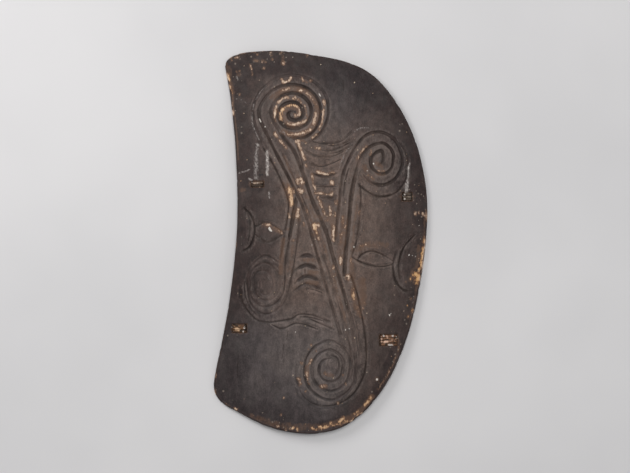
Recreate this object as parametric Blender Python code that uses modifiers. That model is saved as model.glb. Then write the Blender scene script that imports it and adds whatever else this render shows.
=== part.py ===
"""Carved wooden war shield: a domed plank with scroll carving, and four cane lashings.

The shield lies on its hollow back. +X points to the bulging side, +Y to the top and +Z out
of the carved face. The origin is under the middle of the outline, on the surface it lies on.
Lengths are in metres. The carver's drawing, which places the outline and the grooves, is in
millimetres on a sheet of its own, and UNIT turns it into metres.
"""

import math
from dataclasses import dataclass

import bmesh
import bpy
import numpy as np
from mathutils import Vector
from mathutils.geometry import delaunay_2d_cdt

NAME = "tribal_war_shield"

# The board.
HEIGHT = 0.998
THICKNESS = 0.014
CROSS_RISE = 0.030
LENGTH_RISE = 0.018
REST_FLAT = 0.0015
HOLLOW_STOP = 0.0015

# The rounded rim: how far each ring stands in from the outline.
FRONT_EDGE_INSET = 0.006
FRONT_EDGE_DROP = 0.0028
UPPER_SIDE_INSET = 0.0015
BACK_EDGE_INSET = 0.004

# The cane.
STRAND_WIDTH = 0.007
STRAND_THICKNESS = 0.0022
CANE_GAP = 0.0004
CANE_BEND = 0.0014
RECESS_DEPTH = 0.0027
RECESS_RAMP = 0.0015
HOLE_LENGTH = 0.009

# A groove starts narrow, and has its full width this many widths from either end.
TAPER_START = 0.15
TAPER_WIDTHS = 1.5

# How finely curves are drawn.
COIL_STEP = 30
SPLINE_STEPS = 8
MAX_TURN = math.radians(15)
OUTLINE_TURN = math.radians(6)
MAX_STEP = 0.045
MIN_STEP = 0.002
FRONT_FILLER = 0.050
BACK_FILLER = 0.080
FILLER_CLEARANCE = 0.018
SIDES_OF_ELLIPSE = 32
BEND_STEPS = 3
SMOOTH_ANGLE = math.radians(30)

# Points nearer than these are one point: on the flat drawing, and in the finished solid.
DRAWING_MERGE_MM = 0.25
SOLID_MERGE = 0.0001
MM_PER_METRE = 1000.0

# The drawing, in millimetres.
DRAWN_HEIGHT = 998.0
DRAWN_WIDTH = 559.0
UNIT = HEIGHT / DRAWN_HEIGHT
OUTLINE = (
    (-248, 446), (-250, 463), (-243, 478), (-222, 490), (-186, 497), (-100, 499), (0, 485),
    (80, 466), (144, 430), (206, 354), (252, 256), (276, 150), (280, 55), (268, -68),
    (240, -206), (195, -330), (135, -422), (70, -477), (0, -499), (-70, -498), (-145, -480),
    (-220, -443), (-252, -426), (-270, -408), (-279, -384), (-275, -340), (-243, -183),
    (-222, -20), (-217, 100), (-223, 254), (-236, 378),
)  # fmt: skip
SUPPORTS = ((-249, 458), (-278, -380), (280, 55))
TOP_SCROLL = (-70, 332)
RIGHT_SCROLL = (159, 212)
LEFT_SCROLL = (-148, -110)
FOOT_SCROLL = (23, -324)


@dataclass(frozen=True)
class Cut:
    """How wide and how deep a gouge cuts."""

    width: float
    depth: float


WIDE = Cut(0.0125, 0.0045)
MAIN = Cut(0.0100, 0.0036)
LIGHT = Cut(0.0070, 0.0022)
FINE = Cut(0.0055, 0.0016)


@dataclass(frozen=True)
class Groove:
    """One carved line: its points on the drawing, and its cut."""

    points: tuple
    cut: Cut


@dataclass(frozen=True)
class Lashing:
    """One cane binding: its centre and the span of its two holes, on the drawing."""

    name: str
    centre: tuple
    span: float
    strands: int


LASHINGS = (
    Lashing("lashing_upper_left", (-164, 150), 29, 2),
    Lashing("lashing_upper_right", (226, 118), 23, 3),
    Lashing("lashing_lower_left", (-211, -225), 35, 3),
    Lashing("lashing_lower_right", (177, -256), 43, 4),
)


# The carver's drawing.


def coil(centre, start, sweep, radii):
    """Points of a wound line, with its radius named at equal steps of the sweep, in degrees."""
    steps = max(2, round(abs(sweep) / COIL_STEP))
    points = []
    for i in range(steps + 1):
        share = i / steps
        place = share * (len(radii) - 1)
        before = min(int(place), len(radii) - 2)
        radius = radii[before] + (place - before) * (radii[before + 1] - radii[before])
        angle = math.radians(start + share * sweep)
        points.append(
            (centre[0] + radius * math.cos(angle), centre[1] + radius * math.sin(angle))
        )
    return tuple(points)


def top_scroll():
    """The top spiral, and the long diagonal stem that runs down from it."""
    inner = coil(TOP_SCROLL, 90, 810, (5, 13, 15, 26, 31, 39, 36, 47, 56, 57))
    diagonal = (
        (-96, 271), (-70, 238), (-48, 186), (-21, 108), (13, 31), (34, -43), (57, -121),
        (79, -204), (89, -280),
    )  # fmt: skip
    foot = coil(FOOT_SCROLL, 0, -990, (66, 82, 65, 72, 50, 60, 46, 51, 34, 36, 30, 29))
    ring = coil(TOP_SCROLL, 262, 278, (62, 69, 71, 76, 75, 76, 81))
    outline = coil(TOP_SCROLL, 302, 238, (85, 89, 99, 102, 100, 99))
    return [
        Groove(inner, WIDE),
        Groove(inner[-2:] + diagonal + foot[:2], WIDE),
        Groove(foot, MAIN),
        Groove(
            ring + ((-125, 256), (-75, 152), (-42, 82), (-13, -17), (14, -113), (55, -251)),
            MAIN,
        ),
        Groove(
            outline + ((-151, 248), (-117, 191), (-86, 118), (-83, 82), (-92, 24)), MAIN
        ),
        Groove(
            ((-101, 233), (-49, 121), (-21, 43), (13, -53), (36, -126), (62, -217), (78, -282)),
            LIGHT,
        ),
        Groove(((-62, 261), (-55, 233), (-44, 191)), LIGHT),
        Groove(((28, -294), (44, -303), (48, -326), (38, -352)), LIGHT),
        Groove(((22, -297), (19, -316), (19, -338)), LIGHT),
    ]


def left_stem():
    """The stem that leaves the diagonal and winds into the left spiral."""
    centre = LEFT_SCROLL
    winding = coil(centre, 0, -970, (55, 60, 33, 56, 42, 44, 22, 38, 24, 30, 9, 12))
    return [
        Groove(((-94, 16), (-98, -12), (-104, -48)), LIGHT),
        Groove(((-64, 121), (-66, 95), (-73, 55), (-82, -2)), WIDE),
        Groove(((-78, 25), (-84, -10), (-91, -53)) + winding, LIGHT),
        Groove(
            ((-55, 77), (-57, 25), (-68, -53), (-78, -105), (-86, -140), (-106, -172),
             (-140, -187), (-165, -178), (-184, -152), (-190, -110), (-188, -82), (-172, -53),
             (-140, -36), (-104, -56)),
            LIGHT,
        ),
        Groove(((-198, -103), (-196, -136), (-184, -170), (-166, -190)), FINE),
    ]  # fmt: skip


def right_stem():
    """The right spiral, and the stem that runs down from it beside the diagonal."""
    inner = ((160, 200), (167, 214)) + coil(RIGHT_SCROLL, 90, 360, (26, 26, 34, 31, 47))
    ring = coil(RIGHT_SCROLL, 210, 240, (60, 62, 55, 57, 76))
    outline = coil(RIGHT_SCROLL, 410, -176, (69, 68, 80, 95, 86))
    return [
        Groove(
            inner + ((125, 248), (104, 222), (90, 181), (79, 121), (72, 43), (65, -22), (60, -100)),
            MAIN,
        ),
        Groove(((90, 181), (79, 121), (72, 43), (65, -22), (60, -95)), WIDE),
        Groove(ring + ((120, 282), (91, 251), (68, 209), (55, 168), (47, 95), (36, -6)), MAIN),
        Groove(outline, LIGHT),
        Groove(((108, 143), (107, 74), (99, 17), (86, -35), (79, -82)), LIGHT),
        Groove(((73, 191), (64, 155), (60, 121)), FINE),
        Groove(
            ((79, -82), (94, -126), (112, -196), (120, -256), (118, -325), (103, -368),
             (78, -404), (26, -429), (-20, -417), (-55, -382), (-62, -348), (-54, -318)),
            MAIN,
        ),
        Groove(((83, -183), (94, -235), (100, -295), (98, -330)), LIGHT),
    ]  # fmt: skip


def ladder():
    """The short cuts, like rungs, above and below the crossing of the stems."""
    upper = (((-16, 174), (13, 168), (39, 177)), ((-3, 142), (34, 143)), ((3, 114), (34, 114)))
    lower = (
        ((-49, -42), (-34, -34), (-18, -38)),
        ((-52, -69), (-31, -59), (-10, -71)),
        ((-57, -103), (-34, -88), (-5, -99)),
        ((-65, -129), (-42, -110), (-5, -121)),
    )
    link = ((-38, -62), (-38, -88))
    echo = ((-34, -121), (-16, -124), (3, -131))
    rungs = [Groove(points, MAIN) for points in upper + lower]
    return rungs + [Groove(link, LIGHT), Groove(echo, FINE)]


def waves():
    """The shallow waving lines between the spirals."""
    upper = (
        ((-21, 261), (10, 255), (52, 261), (83, 287)),
        ((-5, 240), (31, 238), (78, 259)),
        ((-47, 246), (-21, 226), (26, 221), (65, 238)),
        ((-26, 204), (5, 196), (52, 214)),
    )
    outer = coil(LEFT_SCROLL, 186, 70, (60, 73, 92))
    lower = (
        outer + ((-140, -209), (-99, -204), (-75, -200), (-55, -188), (-18, -191), (26, -209)),
        ((-29, -199), (5, -214), (36, -228)),
        ((-127, -214), (-99, -225), (-60, -211), (-8, -226)),
    )
    return [Groove(points, FINE) for points in upper] + [
        Groove(points, LIGHT) for points in lower
    ]


def edge_eyes():
    """The half ellipses at the two sides, each with a leaf that points to the middle."""
    eyes = (
        ((-201, 91), (-177, 63), (-171, 27), (-182, -9), (-203, -25)),
        ((244, 17), (213, -20), (203, -64), (210, -102)),
        ((198, -22), (190, -58), (198, -100), (218, -124), (239, -130)),
    )
    leaves = (
        ((-172, 38), (-138, 49), (-96, 25)),
        ((-172, 22), (-138, -1), (-96, 20)),
        ((101, -38), (130, -21), (156, -27), (190, -51)),
        ((83, -39), (120, -56), (156, -62), (190, -53)),
    )
    brow = ((-190, 79), (-183, 43), (-187, 4))
    return (
        [Groove(points, LIGHT) for points in eyes]
        + [Groove(points, FINE) for points in leaves]
        + [Groove(brow, FINE)]
    )


def carving():
    """Every groove of the face."""
    return top_scroll() + left_stem() + right_stem() + ladder() + waves() + edge_eyes()


# Curves.


def spline_point(a, b, c, d, share):
    """A point between b and c on the smooth curve through a, b, c and d."""
    cubic = 2 * b + (c - a) * share
    cubic += (2 * a - 5 * b + 4 * c - d) * share**2
    cubic += (3 * b - a - 3 * c + d) * share**3
    return 0.5 * cubic


def smooth(points, closed=False, max_turn=MAX_TURN):
    """Points in metres along a smooth curve, with more of them where it turns."""
    known = [Vector(point) * UNIT for point in points]
    count = len(known)
    spans = count if closed else count - 1
    fine = []
    for i in range(spans):
        if closed:
            around = [known[(i + k) % count] for k in (-1, 0, 1, 2)]
        else:
            around = [known[min(max(i + k, 0), count - 1)] for k in (-1, 0, 1, 2)]
        fine += [spline_point(*around, step / SPLINE_STEPS) for step in range(SPLINE_STEPS)]
    fine.append(known[0] if closed else known[-1])
    return thin_out(fine, closed, max_turn)


def thin_out(fine, closed, max_turn):
    """Keeps a point wherever the curve has turned or run far enough since the last one."""
    kept = [fine[0]]
    turned = 0.0
    run = 0.0
    for before, here, after in zip(fine, fine[1:], fine[2:]):
        turned += abs((here - before).angle_signed(after - here, 0.0))
        run += (here - before).length
        if turned > max_turn or run > MAX_STEP:
            kept.append(here)
            turned = 0.0
            run = 0.0
    last = fine[-1]
    while len(kept) > 1 and (last - kept[-1]).length < MIN_STEP:
        kept.pop()
    return kept if closed else kept + [last]


def sideways(points, closed=False):
    """The unit normal, to the left, at each point of a line."""
    count = len(points)
    normals = []
    for i in range(count):
        ahead = points[(i + 1) % count] if closed else points[min(i + 1, count - 1)]
        behind = points[i - 1] if closed or i else points[0]
        along = (ahead - behind).normalized()
        normals.append(Vector((-along.y, along.x)))
    return normals


def inset(loop, distance):
    """A clockwise closed loop, moved inwards."""
    return [point - normal * distance for point, normal in zip(loop, sideways(loop, True))]


# The dome, and the depth of the carving.


def dome_curves():
    """The dome's two curvatures, and the middle that leaves the three supports level."""
    across = CROSS_RISE / (0.5 * DRAWN_WIDTH * UNIT) ** 2
    along = LENGTH_RISE / (0.5 * HEIGHT) ** 2
    a, b, c = (Vector(point) * UNIT for point in SUPPORTS)
    rows = []
    sums = []
    for p, q in ((a, b), (b, c)):
        rows.append((2 * across * (p.x - q.x), 2 * along * (p.y - q.y)))
        sums.append(across * (p.x**2 - q.x**2) + along * (p.y**2 - q.y**2))
    middle = np.linalg.solve(np.array(rows), np.array(sums))
    return across, along, Vector(middle)


ACROSS, ALONG, MIDDLE = dome_curves()


def drop(place):
    """How far the dome has fallen at a place, measured from its crown."""
    return ACROSS * (place[0] - MIDDLE.x) ** 2 + ALONG * (place[1] - MIDDLE.y) ** 2


def slope_normal(place):
    """The dome's upward unit normal at a place."""
    tilt_x = 2 * ACROSS * (place[0] - MIDDLE.x)
    tilt_y = 2 * ALONG * (place[1] - MIDDLE.y)
    return Vector((tilt_x, tilt_y, 1.0)).normalized()


class Carver:
    """Knows how deep the face is cut at any place."""

    def __init__(self):
        """Draws every groove, with its half width tapering to nothing at both ends."""
        self.lines = []
        starts, ends, starts_half, ends_half, widths, depths = [], [], [], [], [], []
        for groove in carving():
            line = smooth(groove.points)
            halves = self.half_widths(line, groove.cut)
            self.lines.append((line, halves))
            for i in range(len(line) - 1):
                starts.append(line[i])
                ends.append(line[i + 1])
                starts_half.append(halves[i])
                ends_half.append(halves[i + 1])
                widths.append(groove.cut.width)
                depths.append(groove.cut.depth)
        self.starts = np.array(starts)
        self.runs = np.array(ends) - self.starts
        self.starts_half = np.array(starts_half)
        self.grows = np.array(ends_half) - self.starts_half
        self.steepness = 2 * np.array(depths) / np.array(widths)

    @staticmethod
    def half_widths(line, cut):
        """Half the cut's width at each point of a line, and nearly nothing at its ends."""
        gaps = [(q - p).length for p, q in zip(line, line[1:])]
        total = sum(gaps)
        halves = []
        run = 0.0
        for gap in [0.0] + gaps:
            run += gap
            from_end = min(run, total - run)
            share = min(1.0, TAPER_START + from_end / (TAPER_WIDTHS * cut.width))
            halves.append(0.5 * cut.width * share)
        return halves

    def depth(self, place):
        """The depth of the carving at a place: the deepest of the grooves that reach it."""
        away = np.array((place[0], place[1])) - self.starts
        share = (away * self.runs).sum(1) / (self.runs**2).sum(1)
        share = np.clip(share, 0.0, 1.0)
        distance = np.hypot(*(away - share[:, None] * self.runs).T)
        half = self.starts_half + share * self.grows
        grooves = ((half - distance) * self.steepness).max()
        recesses = max(recess_depth(lashing, place) for lashing in LASHINGS)
        return max(0.0, grooves, recesses)


# Lashings: their recesses and holes in the board, and the cane itself.


def band_width(lashing):
    """The width of the strands side by side."""
    return lashing.strands * STRAND_WIDTH


def recess_half(lashing):
    """Half the length and half the width of the recess's floor."""
    length = lashing.span * UNIT + HOLE_LENGTH
    return 0.5 * length + CANE_GAP, 0.5 * band_width(lashing) + 2 * CANE_GAP


def recess_depth(lashing, place):
    """The depth of a lashing's recess at a place, with a ramp around its floor."""
    half_length, half_width = recess_half(lashing)
    beyond_x = abs(place[0] - lashing.centre[0] * UNIT) - half_length
    beyond_y = abs(place[1] - lashing.centre[1] * UNIT) - half_width
    beyond = max(beyond_x, beyond_y, 0.0)
    return RECESS_DEPTH * max(0.0, 1.0 - beyond / RECESS_RAMP)


def rectangle(centre, half_length, half_width):
    """The corners of an upright rectangle, counter-clockwise."""
    signs = ((-1, -1), (1, -1), (1, 1), (-1, 1))
    return [Vector((centre.x + i * half_length, centre.y + j * half_width)) for i, j in signs]


def hole_loops():
    """The outline of each hole: rectangles with cut corners, counter-clockwise."""
    loops = []
    for lashing in LASHINGS:
        half_width = 0.5 * band_width(lashing) + CANE_GAP
        for side in (-1, 1):
            middle = Vector(lashing.centre) * UNIT
            middle.x += side * 0.5 * lashing.span * UNIT
            loops.append(rectangle(middle, 0.5 * HOLE_LENGTH, half_width))
    return loops


def recess_loops():
    """The floor and the brim of each recess."""
    loops = []
    for lashing in LASHINGS:
        middle = Vector(lashing.centre) * UNIT
        half_length, half_width = recess_half(lashing)
        loops.append(rectangle(middle, half_length, half_width))
        brim = (half_length + RECESS_RAMP, half_width + RECESS_RAMP)
        loops.append(rectangle(middle, *brim))
    return loops


# Triangulated faces.


def inside(place, loop):
    """Whether a place lies inside a closed loop."""
    hits = 0
    for a, b in zip(loop, loop[1:] + loop[:1]):
        if (a.y > place.y) != (b.y > place.y):
            hits += place.x < a.x + (place.y - a.y) * (b.x - a.x) / (b.y - a.y)
    return hits % 2 == 1


def filler(loop, lines, spacing):
    """A grid of places inside a loop that stay clear of every line."""
    drawn = np.array([point for line in lines for point in line] + list(loop))
    low = drawn.min(0)
    high = drawn.max(0)
    found = []
    rows = int((high[1] - low[1]) / spacing)
    columns = int((high[0] - low[0]) / spacing)
    for row in range(rows + 1):
        for column in range(columns + 1):
            x = low[0] + (column + 0.5 * (row % 2)) * spacing
            place = Vector((x, low[1] + (row + 0.5) * spacing))
            near = np.hypot(*(drawn - np.array(place)).T).min()
            if near > FILLER_CLEARANCE and inside(place, loop):
                found.append(place)
    return found


def triangulate(rim, holes, loops, lines, loose):
    """Triangles over the area inside rim and outside holes, with every line as an edge.

    Gives the places, the triangles, and for the rim and each hole the places along it.
    """
    places = []
    edges = []
    starts = []
    for loop in [rim] + holes + loops:
        first = len(places)
        starts.append(first)
        count = len(loop)
        places += loop
        edges += [(first + i, first + (i + 1) % count) for i in range(count)]
    for line in lines:
        first = len(places)
        places += line
        edges += [(first + i, first + i + 1) for i in range(len(line) - 1)]
    places += loose
    in_mm = [place * MM_PER_METRE for place in places]
    made = delaunay_2d_cdt(in_mm, edges, [], 0, DRAWING_MERGE_MM)
    out_places = [place / MM_PER_METRE for place in made[0]]
    new_index = {old: new for new, olds in enumerate(made[3]) for old in olds}
    kept = []
    for face in made[2]:
        middle = sum((out_places[i] for i in face), Vector((0, 0))) / len(face)
        if inside(middle, rim) and not any(inside(middle, hole) for hole in holes):
            kept.append(tuple(face))
    borders = []
    for first, loop in zip(starts, [rim] + holes):
        borders.append([new_index[first + i] for i in range(len(loop))])
    return out_places, kept, borders


# Pieces.


def timber_material():
    """Blackened wood: soot and old paint, matt."""
    return plain_material("sooted_wood", (0.075, 0.062, 0.055), 0.72)


def cane_material():
    """Split rattan, brown with age and handling."""
    return plain_material("aged_cane", (0.30, 0.17, 0.085), 0.55)


def plain_material(name, colour, roughness):
    """A Principled material of one colour."""
    material = bpy.data.materials.new(name)
    material.use_nodes = True
    shader = material.node_tree.nodes["Principled BSDF"]
    shader.inputs["Base Color"].default_value = (*colour, 1.0)
    shader.inputs["Roughness"].default_value = roughness
    shader.inputs["Metallic"].default_value = 0.0
    material.diffuse_color = (*colour, 1.0)
    return material


def groove_lines(carver):
    """The two edges and the bottom of every groove, as lines."""
    lines = []
    for line, halves in carver.lines:
        normals = sideways(line)
        left = [p + n * h for p, n, h in zip(line, normals, halves)]
        right = [p - n * h for p, n, h in zip(line, normals, halves)]
        lines += [line, left, right]
    return lines


def flat_loop():
    """Where the hollowing of the back stops at a flat."""
    radius_x = math.sqrt(HOLLOW_STOP / ACROSS)
    radius_y = math.sqrt(HOLLOW_STOP / ALONG)
    loop = []
    for i in range(SIDES_OF_ELLIPSE):
        angle = 2 * math.pi * i / SIDES_OF_ELLIPSE
        loop.append(MIDDLE + Vector((radius_x * math.cos(angle), radius_y * math.sin(angle))))
    return loop


def add_layer(mesh, places, triangles, height, upwards):
    """Adds one triangulated face to a mesh, and gives its vertices."""
    vertices = [mesh.verts.new((place.x, place.y, height(place))) for place in places]
    for triangle in triangles:
        a, b, c = (places[i] for i in triangle[:3])
        turns_left = (b - a).cross(c - a) > 0
        order = triangle if turns_left == upwards else tuple(reversed(triangle))
        mesh.faces.new([vertices[i] for i in order])
    return vertices


def add_wall(mesh, upper, lower):
    """Joins two closed rings of vertices, with upper above lower."""
    count = len(upper)
    for i in range(count):
        j = (i + 1) % count
        mesh.faces.new((upper[i], upper[j], lower[j], lower[i]))


def make_board():
    """The plank: a carved front, a hollow back, a rounded rim and the holes for the cane."""
    outline = smooth(OUTLINE, closed=True, max_turn=OUTLINE_TURN)
    front_edge = inset(outline, FRONT_EDGE_INSET)
    upper_side = inset(outline, UPPER_SIDE_INSET)
    back_edge = inset(outline, BACK_EDGE_INSET)
    crown = max(drop(place) for place in back_edge) - REST_FLAT
    carver = Carver()
    holes = hole_loops()

    def back(place):
        return crown - max(drop(place), HOLLOW_STOP)

    def face(place):
        return crown - drop(place) + THICKNESS

    def carved(place):
        return face(place) - carver.depth(place)

    lines = groove_lines(carver)
    recesses = recess_loops()
    grid = filler(front_edge, lines + recesses, FRONT_FILLER)
    front_layer = triangulate(front_edge, holes, recesses, lines, grid)
    flat = flat_loop()
    grid = filler(back_edge, [flat] + holes, BACK_FILLER)
    back_layer = triangulate(back_edge, holes, [flat], [], grid)

    mesh = bmesh.new()
    front_verts = add_layer(mesh, *front_layer[:2], carved, upwards=True)
    back_verts = add_layer(mesh, *back_layer[:2], back, upwards=False)
    rings = [[front_verts[i] for i in front_layer[2][0]]]
    for loop, height in (
        (upper_side, lambda place: face(place) - FRONT_EDGE_DROP),
        (outline, lambda place: back(place) + 0.5 * THICKNESS),
    ):
        rings.append([mesh.verts.new((p.x, p.y, height(p))) for p in loop])
    rings.append([back_verts[i] for i in back_layer[2][0]])
    for upper, lower in zip(rings, rings[1:]):
        add_wall(mesh, upper, lower)
    for front_hole, back_hole in zip(front_layer[2][1:], back_layer[2][1:]):
        add_wall(
            mesh, [front_verts[i] for i in front_hole], [back_verts[i] for i in back_hole]
        )
    plane_rests(mesh)
    board = object_from(mesh, "board", timber_material())
    return board, crown


def plane_rests(mesh):
    """Planes the lowest spots of the rim flat, where the shield lies on the ground."""
    everything = mesh.verts[:] + mesh.edges[:] + mesh.faces[:]
    bmesh.ops.bisect_plane(
        mesh, geom=everything, plane_co=(0, 0, 0), plane_no=(0, 0, -1), clear_outer=True
    )
    bmesh.ops.remove_doubles(mesh, verts=mesh.verts, dist=SOLID_MERGE)
    open_edges = [edge for edge in mesh.edges if edge.is_boundary]
    bmesh.ops.holes_fill(mesh, edges=open_edges, sides=0)


def object_from(mesh, name, material):
    """Turns a bmesh into a named object with its material, and frees it."""
    bmesh.ops.triangulate(mesh, faces=mesh.faces)
    bmesh.ops.dissolve_degenerate(mesh, dist=SOLID_MERGE, edges=mesh.edges)
    bmesh.ops.triangulate(mesh, faces=mesh.faces)
    bmesh.ops.recalc_face_normals(mesh, faces=mesh.faces)
    data = bpy.data.meshes.new(name)
    mesh.to_mesh(data)
    mesh.free()
    data.shade_smooth()
    data.set_sharp_from_angle(angle=SMOOTH_ANGLE)
    data.materials.append(material)
    return bpy.data.objects.new(name, data)


def cane_path(lashing):
    """The closed middle line of the cane, seen from below the shield: rounded corners."""
    half_span = 0.5 * lashing.span * UNIT
    top = 0.5 * THICKNESS - RECESS_DEPTH + CANE_GAP + 0.5 * STRAND_THICKNESS
    bottom = -0.5 * THICKNESS - CANE_GAP - 0.5 * STRAND_THICKNESS
    path = []
    corners = ((1, top, 90), (1, bottom, 0), (-1, bottom, -90), (-1, top, 180))
    for side, height, start in corners:
        inward = -1 if height > 0 else 1
        for step in range(BEND_STEPS + 1):
            angle = math.radians(start - 90 * step / BEND_STEPS)
            x = side * (half_span - CANE_BEND) + CANE_BEND * math.cos(angle)
            path.append((x, height + inward * CANE_BEND + CANE_BEND * math.sin(angle)))
    return path


def make_lashing(lashing, crown, material):
    """A flat band of cane, closed in a ring through the two holes."""
    path = cane_path(lashing)
    half_width = 0.5 * band_width(lashing)
    mesh = bmesh.new()
    rings = []
    for side in (-half_width, half_width):
        rings.append([mesh.verts.new((x, side, z)) for x, z in path])
    add_wall(mesh, *rings)
    band = object_from(mesh, lashing.name, material)
    place = Vector(lashing.centre) * UNIT
    middle = crown - drop(place) + 0.5 * THICKNESS
    band.location = (place.x, place.y, middle)
    band.rotation_mode = "QUATERNION"
    band.rotation_quaternion = Vector((0, 0, 1)).rotation_difference(slope_normal(place))
    thickness = band.modifiers.new("cane thickness", "SOLIDIFY")
    thickness.thickness = STRAND_THICKNESS
    thickness.offset = 0.0
    return band


def clear_scene():
    """Removes whatever the scene starts with."""
    for item in list(bpy.data.objects):
        bpy.data.objects.remove(item)


def main():
    """Builds the shield in a collection of its own, centred over its origin."""
    clear_scene()
    collection = bpy.data.collections.new(NAME)
    bpy.context.scene.collection.children.link(collection)
    root = bpy.data.objects.new("shield_origin", None)
    collection.objects.link(root)
    board, crown = make_board()
    cane = cane_material()
    pieces = [board] + [make_lashing(lashing, crown, cane) for lashing in LASHINGS]
    for piece in pieces:
        collection.objects.link(piece)
        piece.parent = root
    corners = np.array([vertex.co for vertex in board.data.vertices])
    centre = 0.5 * (corners.min(0) + corners.max(0))
    root.location = (-centre[0], -centre[1], 0.0)
    bpy.context.view_layer.update()


main()
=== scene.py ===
"""The looks of a carved war shield: the sooted board, its cane lashings and a plain studio.

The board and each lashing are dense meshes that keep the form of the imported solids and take
their place. The carver's drawing is in millimetres, and everything else is in metres.
"""

import logging
import math
from collections.abc import Iterable, Sequence
from dataclasses import dataclass, field
from enum import Enum
import bmesh
import bpy
import numpy as np
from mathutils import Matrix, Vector
from mathutils.geometry import delaunay_2d_cdt


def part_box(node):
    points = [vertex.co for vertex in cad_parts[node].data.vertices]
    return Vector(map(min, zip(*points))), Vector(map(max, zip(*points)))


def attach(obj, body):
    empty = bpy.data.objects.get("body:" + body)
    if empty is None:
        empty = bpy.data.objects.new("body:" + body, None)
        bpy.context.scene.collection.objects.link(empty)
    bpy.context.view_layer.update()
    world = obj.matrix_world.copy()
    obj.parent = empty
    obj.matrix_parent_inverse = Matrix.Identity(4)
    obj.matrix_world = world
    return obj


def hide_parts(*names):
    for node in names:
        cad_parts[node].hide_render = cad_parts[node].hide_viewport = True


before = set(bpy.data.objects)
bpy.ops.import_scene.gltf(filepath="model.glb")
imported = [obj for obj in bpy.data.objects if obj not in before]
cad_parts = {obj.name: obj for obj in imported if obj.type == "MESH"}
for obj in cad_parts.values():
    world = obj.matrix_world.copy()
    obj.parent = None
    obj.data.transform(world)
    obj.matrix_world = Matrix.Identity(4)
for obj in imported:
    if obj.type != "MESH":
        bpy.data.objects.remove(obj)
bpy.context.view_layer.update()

log = logging.getLogger("shield")

Point = tuple[float, float]
Colour = tuple[float, float, float]
Socket = bpy.types.NodeSocket

UNIT = 0.001
BODY = "root"
BLOCK = 4000


# Curves and noise.


class SmoothNoise:
    """Smooth, repeatable noise over the plane, from about -1 to 1."""

    cells: int = 128

    def __init__(self, seed: int) -> None:
        """Draws the lattice that the noise runs through.

        Args:
            seed: which noise it is.
        """
        draw = np.random.default_rng(seed)
        self.lattice = draw.uniform(-1.0, 1.0, (self.cells, self.cells))

    def at(self, places: np.ndarray, size_x: float, size_y: float) -> np.ndarray:
        """Reads the noise.

        Args:
            places: one row for each place, in metres.
            size_x: the width of its bumps.
            size_y: their height.

        Returns:
            One value for each place.
        """
        cell = places / np.array((size_x, size_y))
        low = np.floor(cell).astype(int)
        part = cell - low
        ease = part * part * (3.0 - 2.0 * part)
        i, j = (low % self.cells).T
        k, m = ((low + 1) % self.cells).T
        left = self.lattice[i, j] * (1 - ease[:, 1]) + self.lattice[i, m] * ease[:, 1]
        right = self.lattice[k, j] * (1 - ease[:, 1]) + self.lattice[k, m] * ease[:, 1]
        return left * (1 - ease[:, 0]) + right * ease[:, 0]


def soften(value: np.ndarray, low: float, high: float) -> np.ndarray:
    """Rises smoothly from 0 at low to 1 at high.

    Args:
        value: the values to map.
        low: where the rise starts.
        high: where it ends; below low, the result falls instead.

    Returns:
        The mapped values, from 0 to 1.
    """
    share = np.clip((value - low) / (high - low), 0.0, 1.0)
    return share * share * (3.0 - 2.0 * share)


def run_along(line: np.ndarray) -> np.ndarray:
    """How far along a line each of its places is."""
    return np.concatenate(([0.0], np.cumsum(np.hypot(*np.diff(line, axis=0).T))))


def resample(line: np.ndarray, spacing: float, closed: bool) -> np.ndarray:
    """Spreads places evenly along a line.

    Args:
        line: the line's corners.
        spacing: about how far apart the new places are.
        closed: whether the line returns to its start.

    Returns:
        The new places; a closed line's start isn't repeated.
    """
    if closed:
        line = np.vstack((line, line[:1]))
    run = run_along(line)
    count = max(2, round(run[-1] / spacing))
    stations = np.linspace(0.0, run[-1], count + 1)
    if closed:
        stations = stations[:-1]
    return np.stack([np.interp(stations, run, line[:, axis]) for axis in (0, 1)], 1)


def smooth_curve(points: Sequence[Point], spacing: float, closed: bool = False) -> np.ndarray:
    """Draws a smooth curve through points of the drawing.

    Args:
        points: the points it passes, in millimetres.
        spacing: about how far apart its places are, in metres.
        closed: whether it returns to its start.

    Returns:
        Places along the curve, in metres.
    """
    steps = 12
    known = np.array(points, float) * UNIT
    if closed:
        padded = np.vstack((known[-1:], known, known[:2]))
    else:
        padded = np.vstack((known[:1], known, known[-1:]))
    share = np.linspace(0.0, 1.0, steps, endpoint=False)[:, None]
    fine = []
    for a, b, c, d in zip(padded, padded[1:], padded[2:], padded[3:]):
        cubic = 2 * b + (c - a) * share
        cubic = cubic + (2 * a - 5 * b + 4 * c - d) * share**2
        cubic = cubic + (3 * b - a - 3 * c + d) * share**3
        fine.append(0.5 * cubic)
    if not closed:
        fine.append(known[-1:])
    return resample(np.vstack(fine), spacing, closed)


def sideways(line: np.ndarray, closed: bool = False) -> np.ndarray:
    """The unit normal, to the left, at each place of a line.

    Args:
        line: places along the line.
        closed: whether the line returns to its start.

    Returns:
        One unit vector for each place.
    """
    if closed:
        along = np.roll(line, -1, 0) - np.roll(line, 1, 0)
    else:
        along = np.gradient(line, axis=0)
    along /= np.hypot(*along.T)[:, None]
    return np.stack((-along[:, 1], along[:, 0]), 1)


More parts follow.
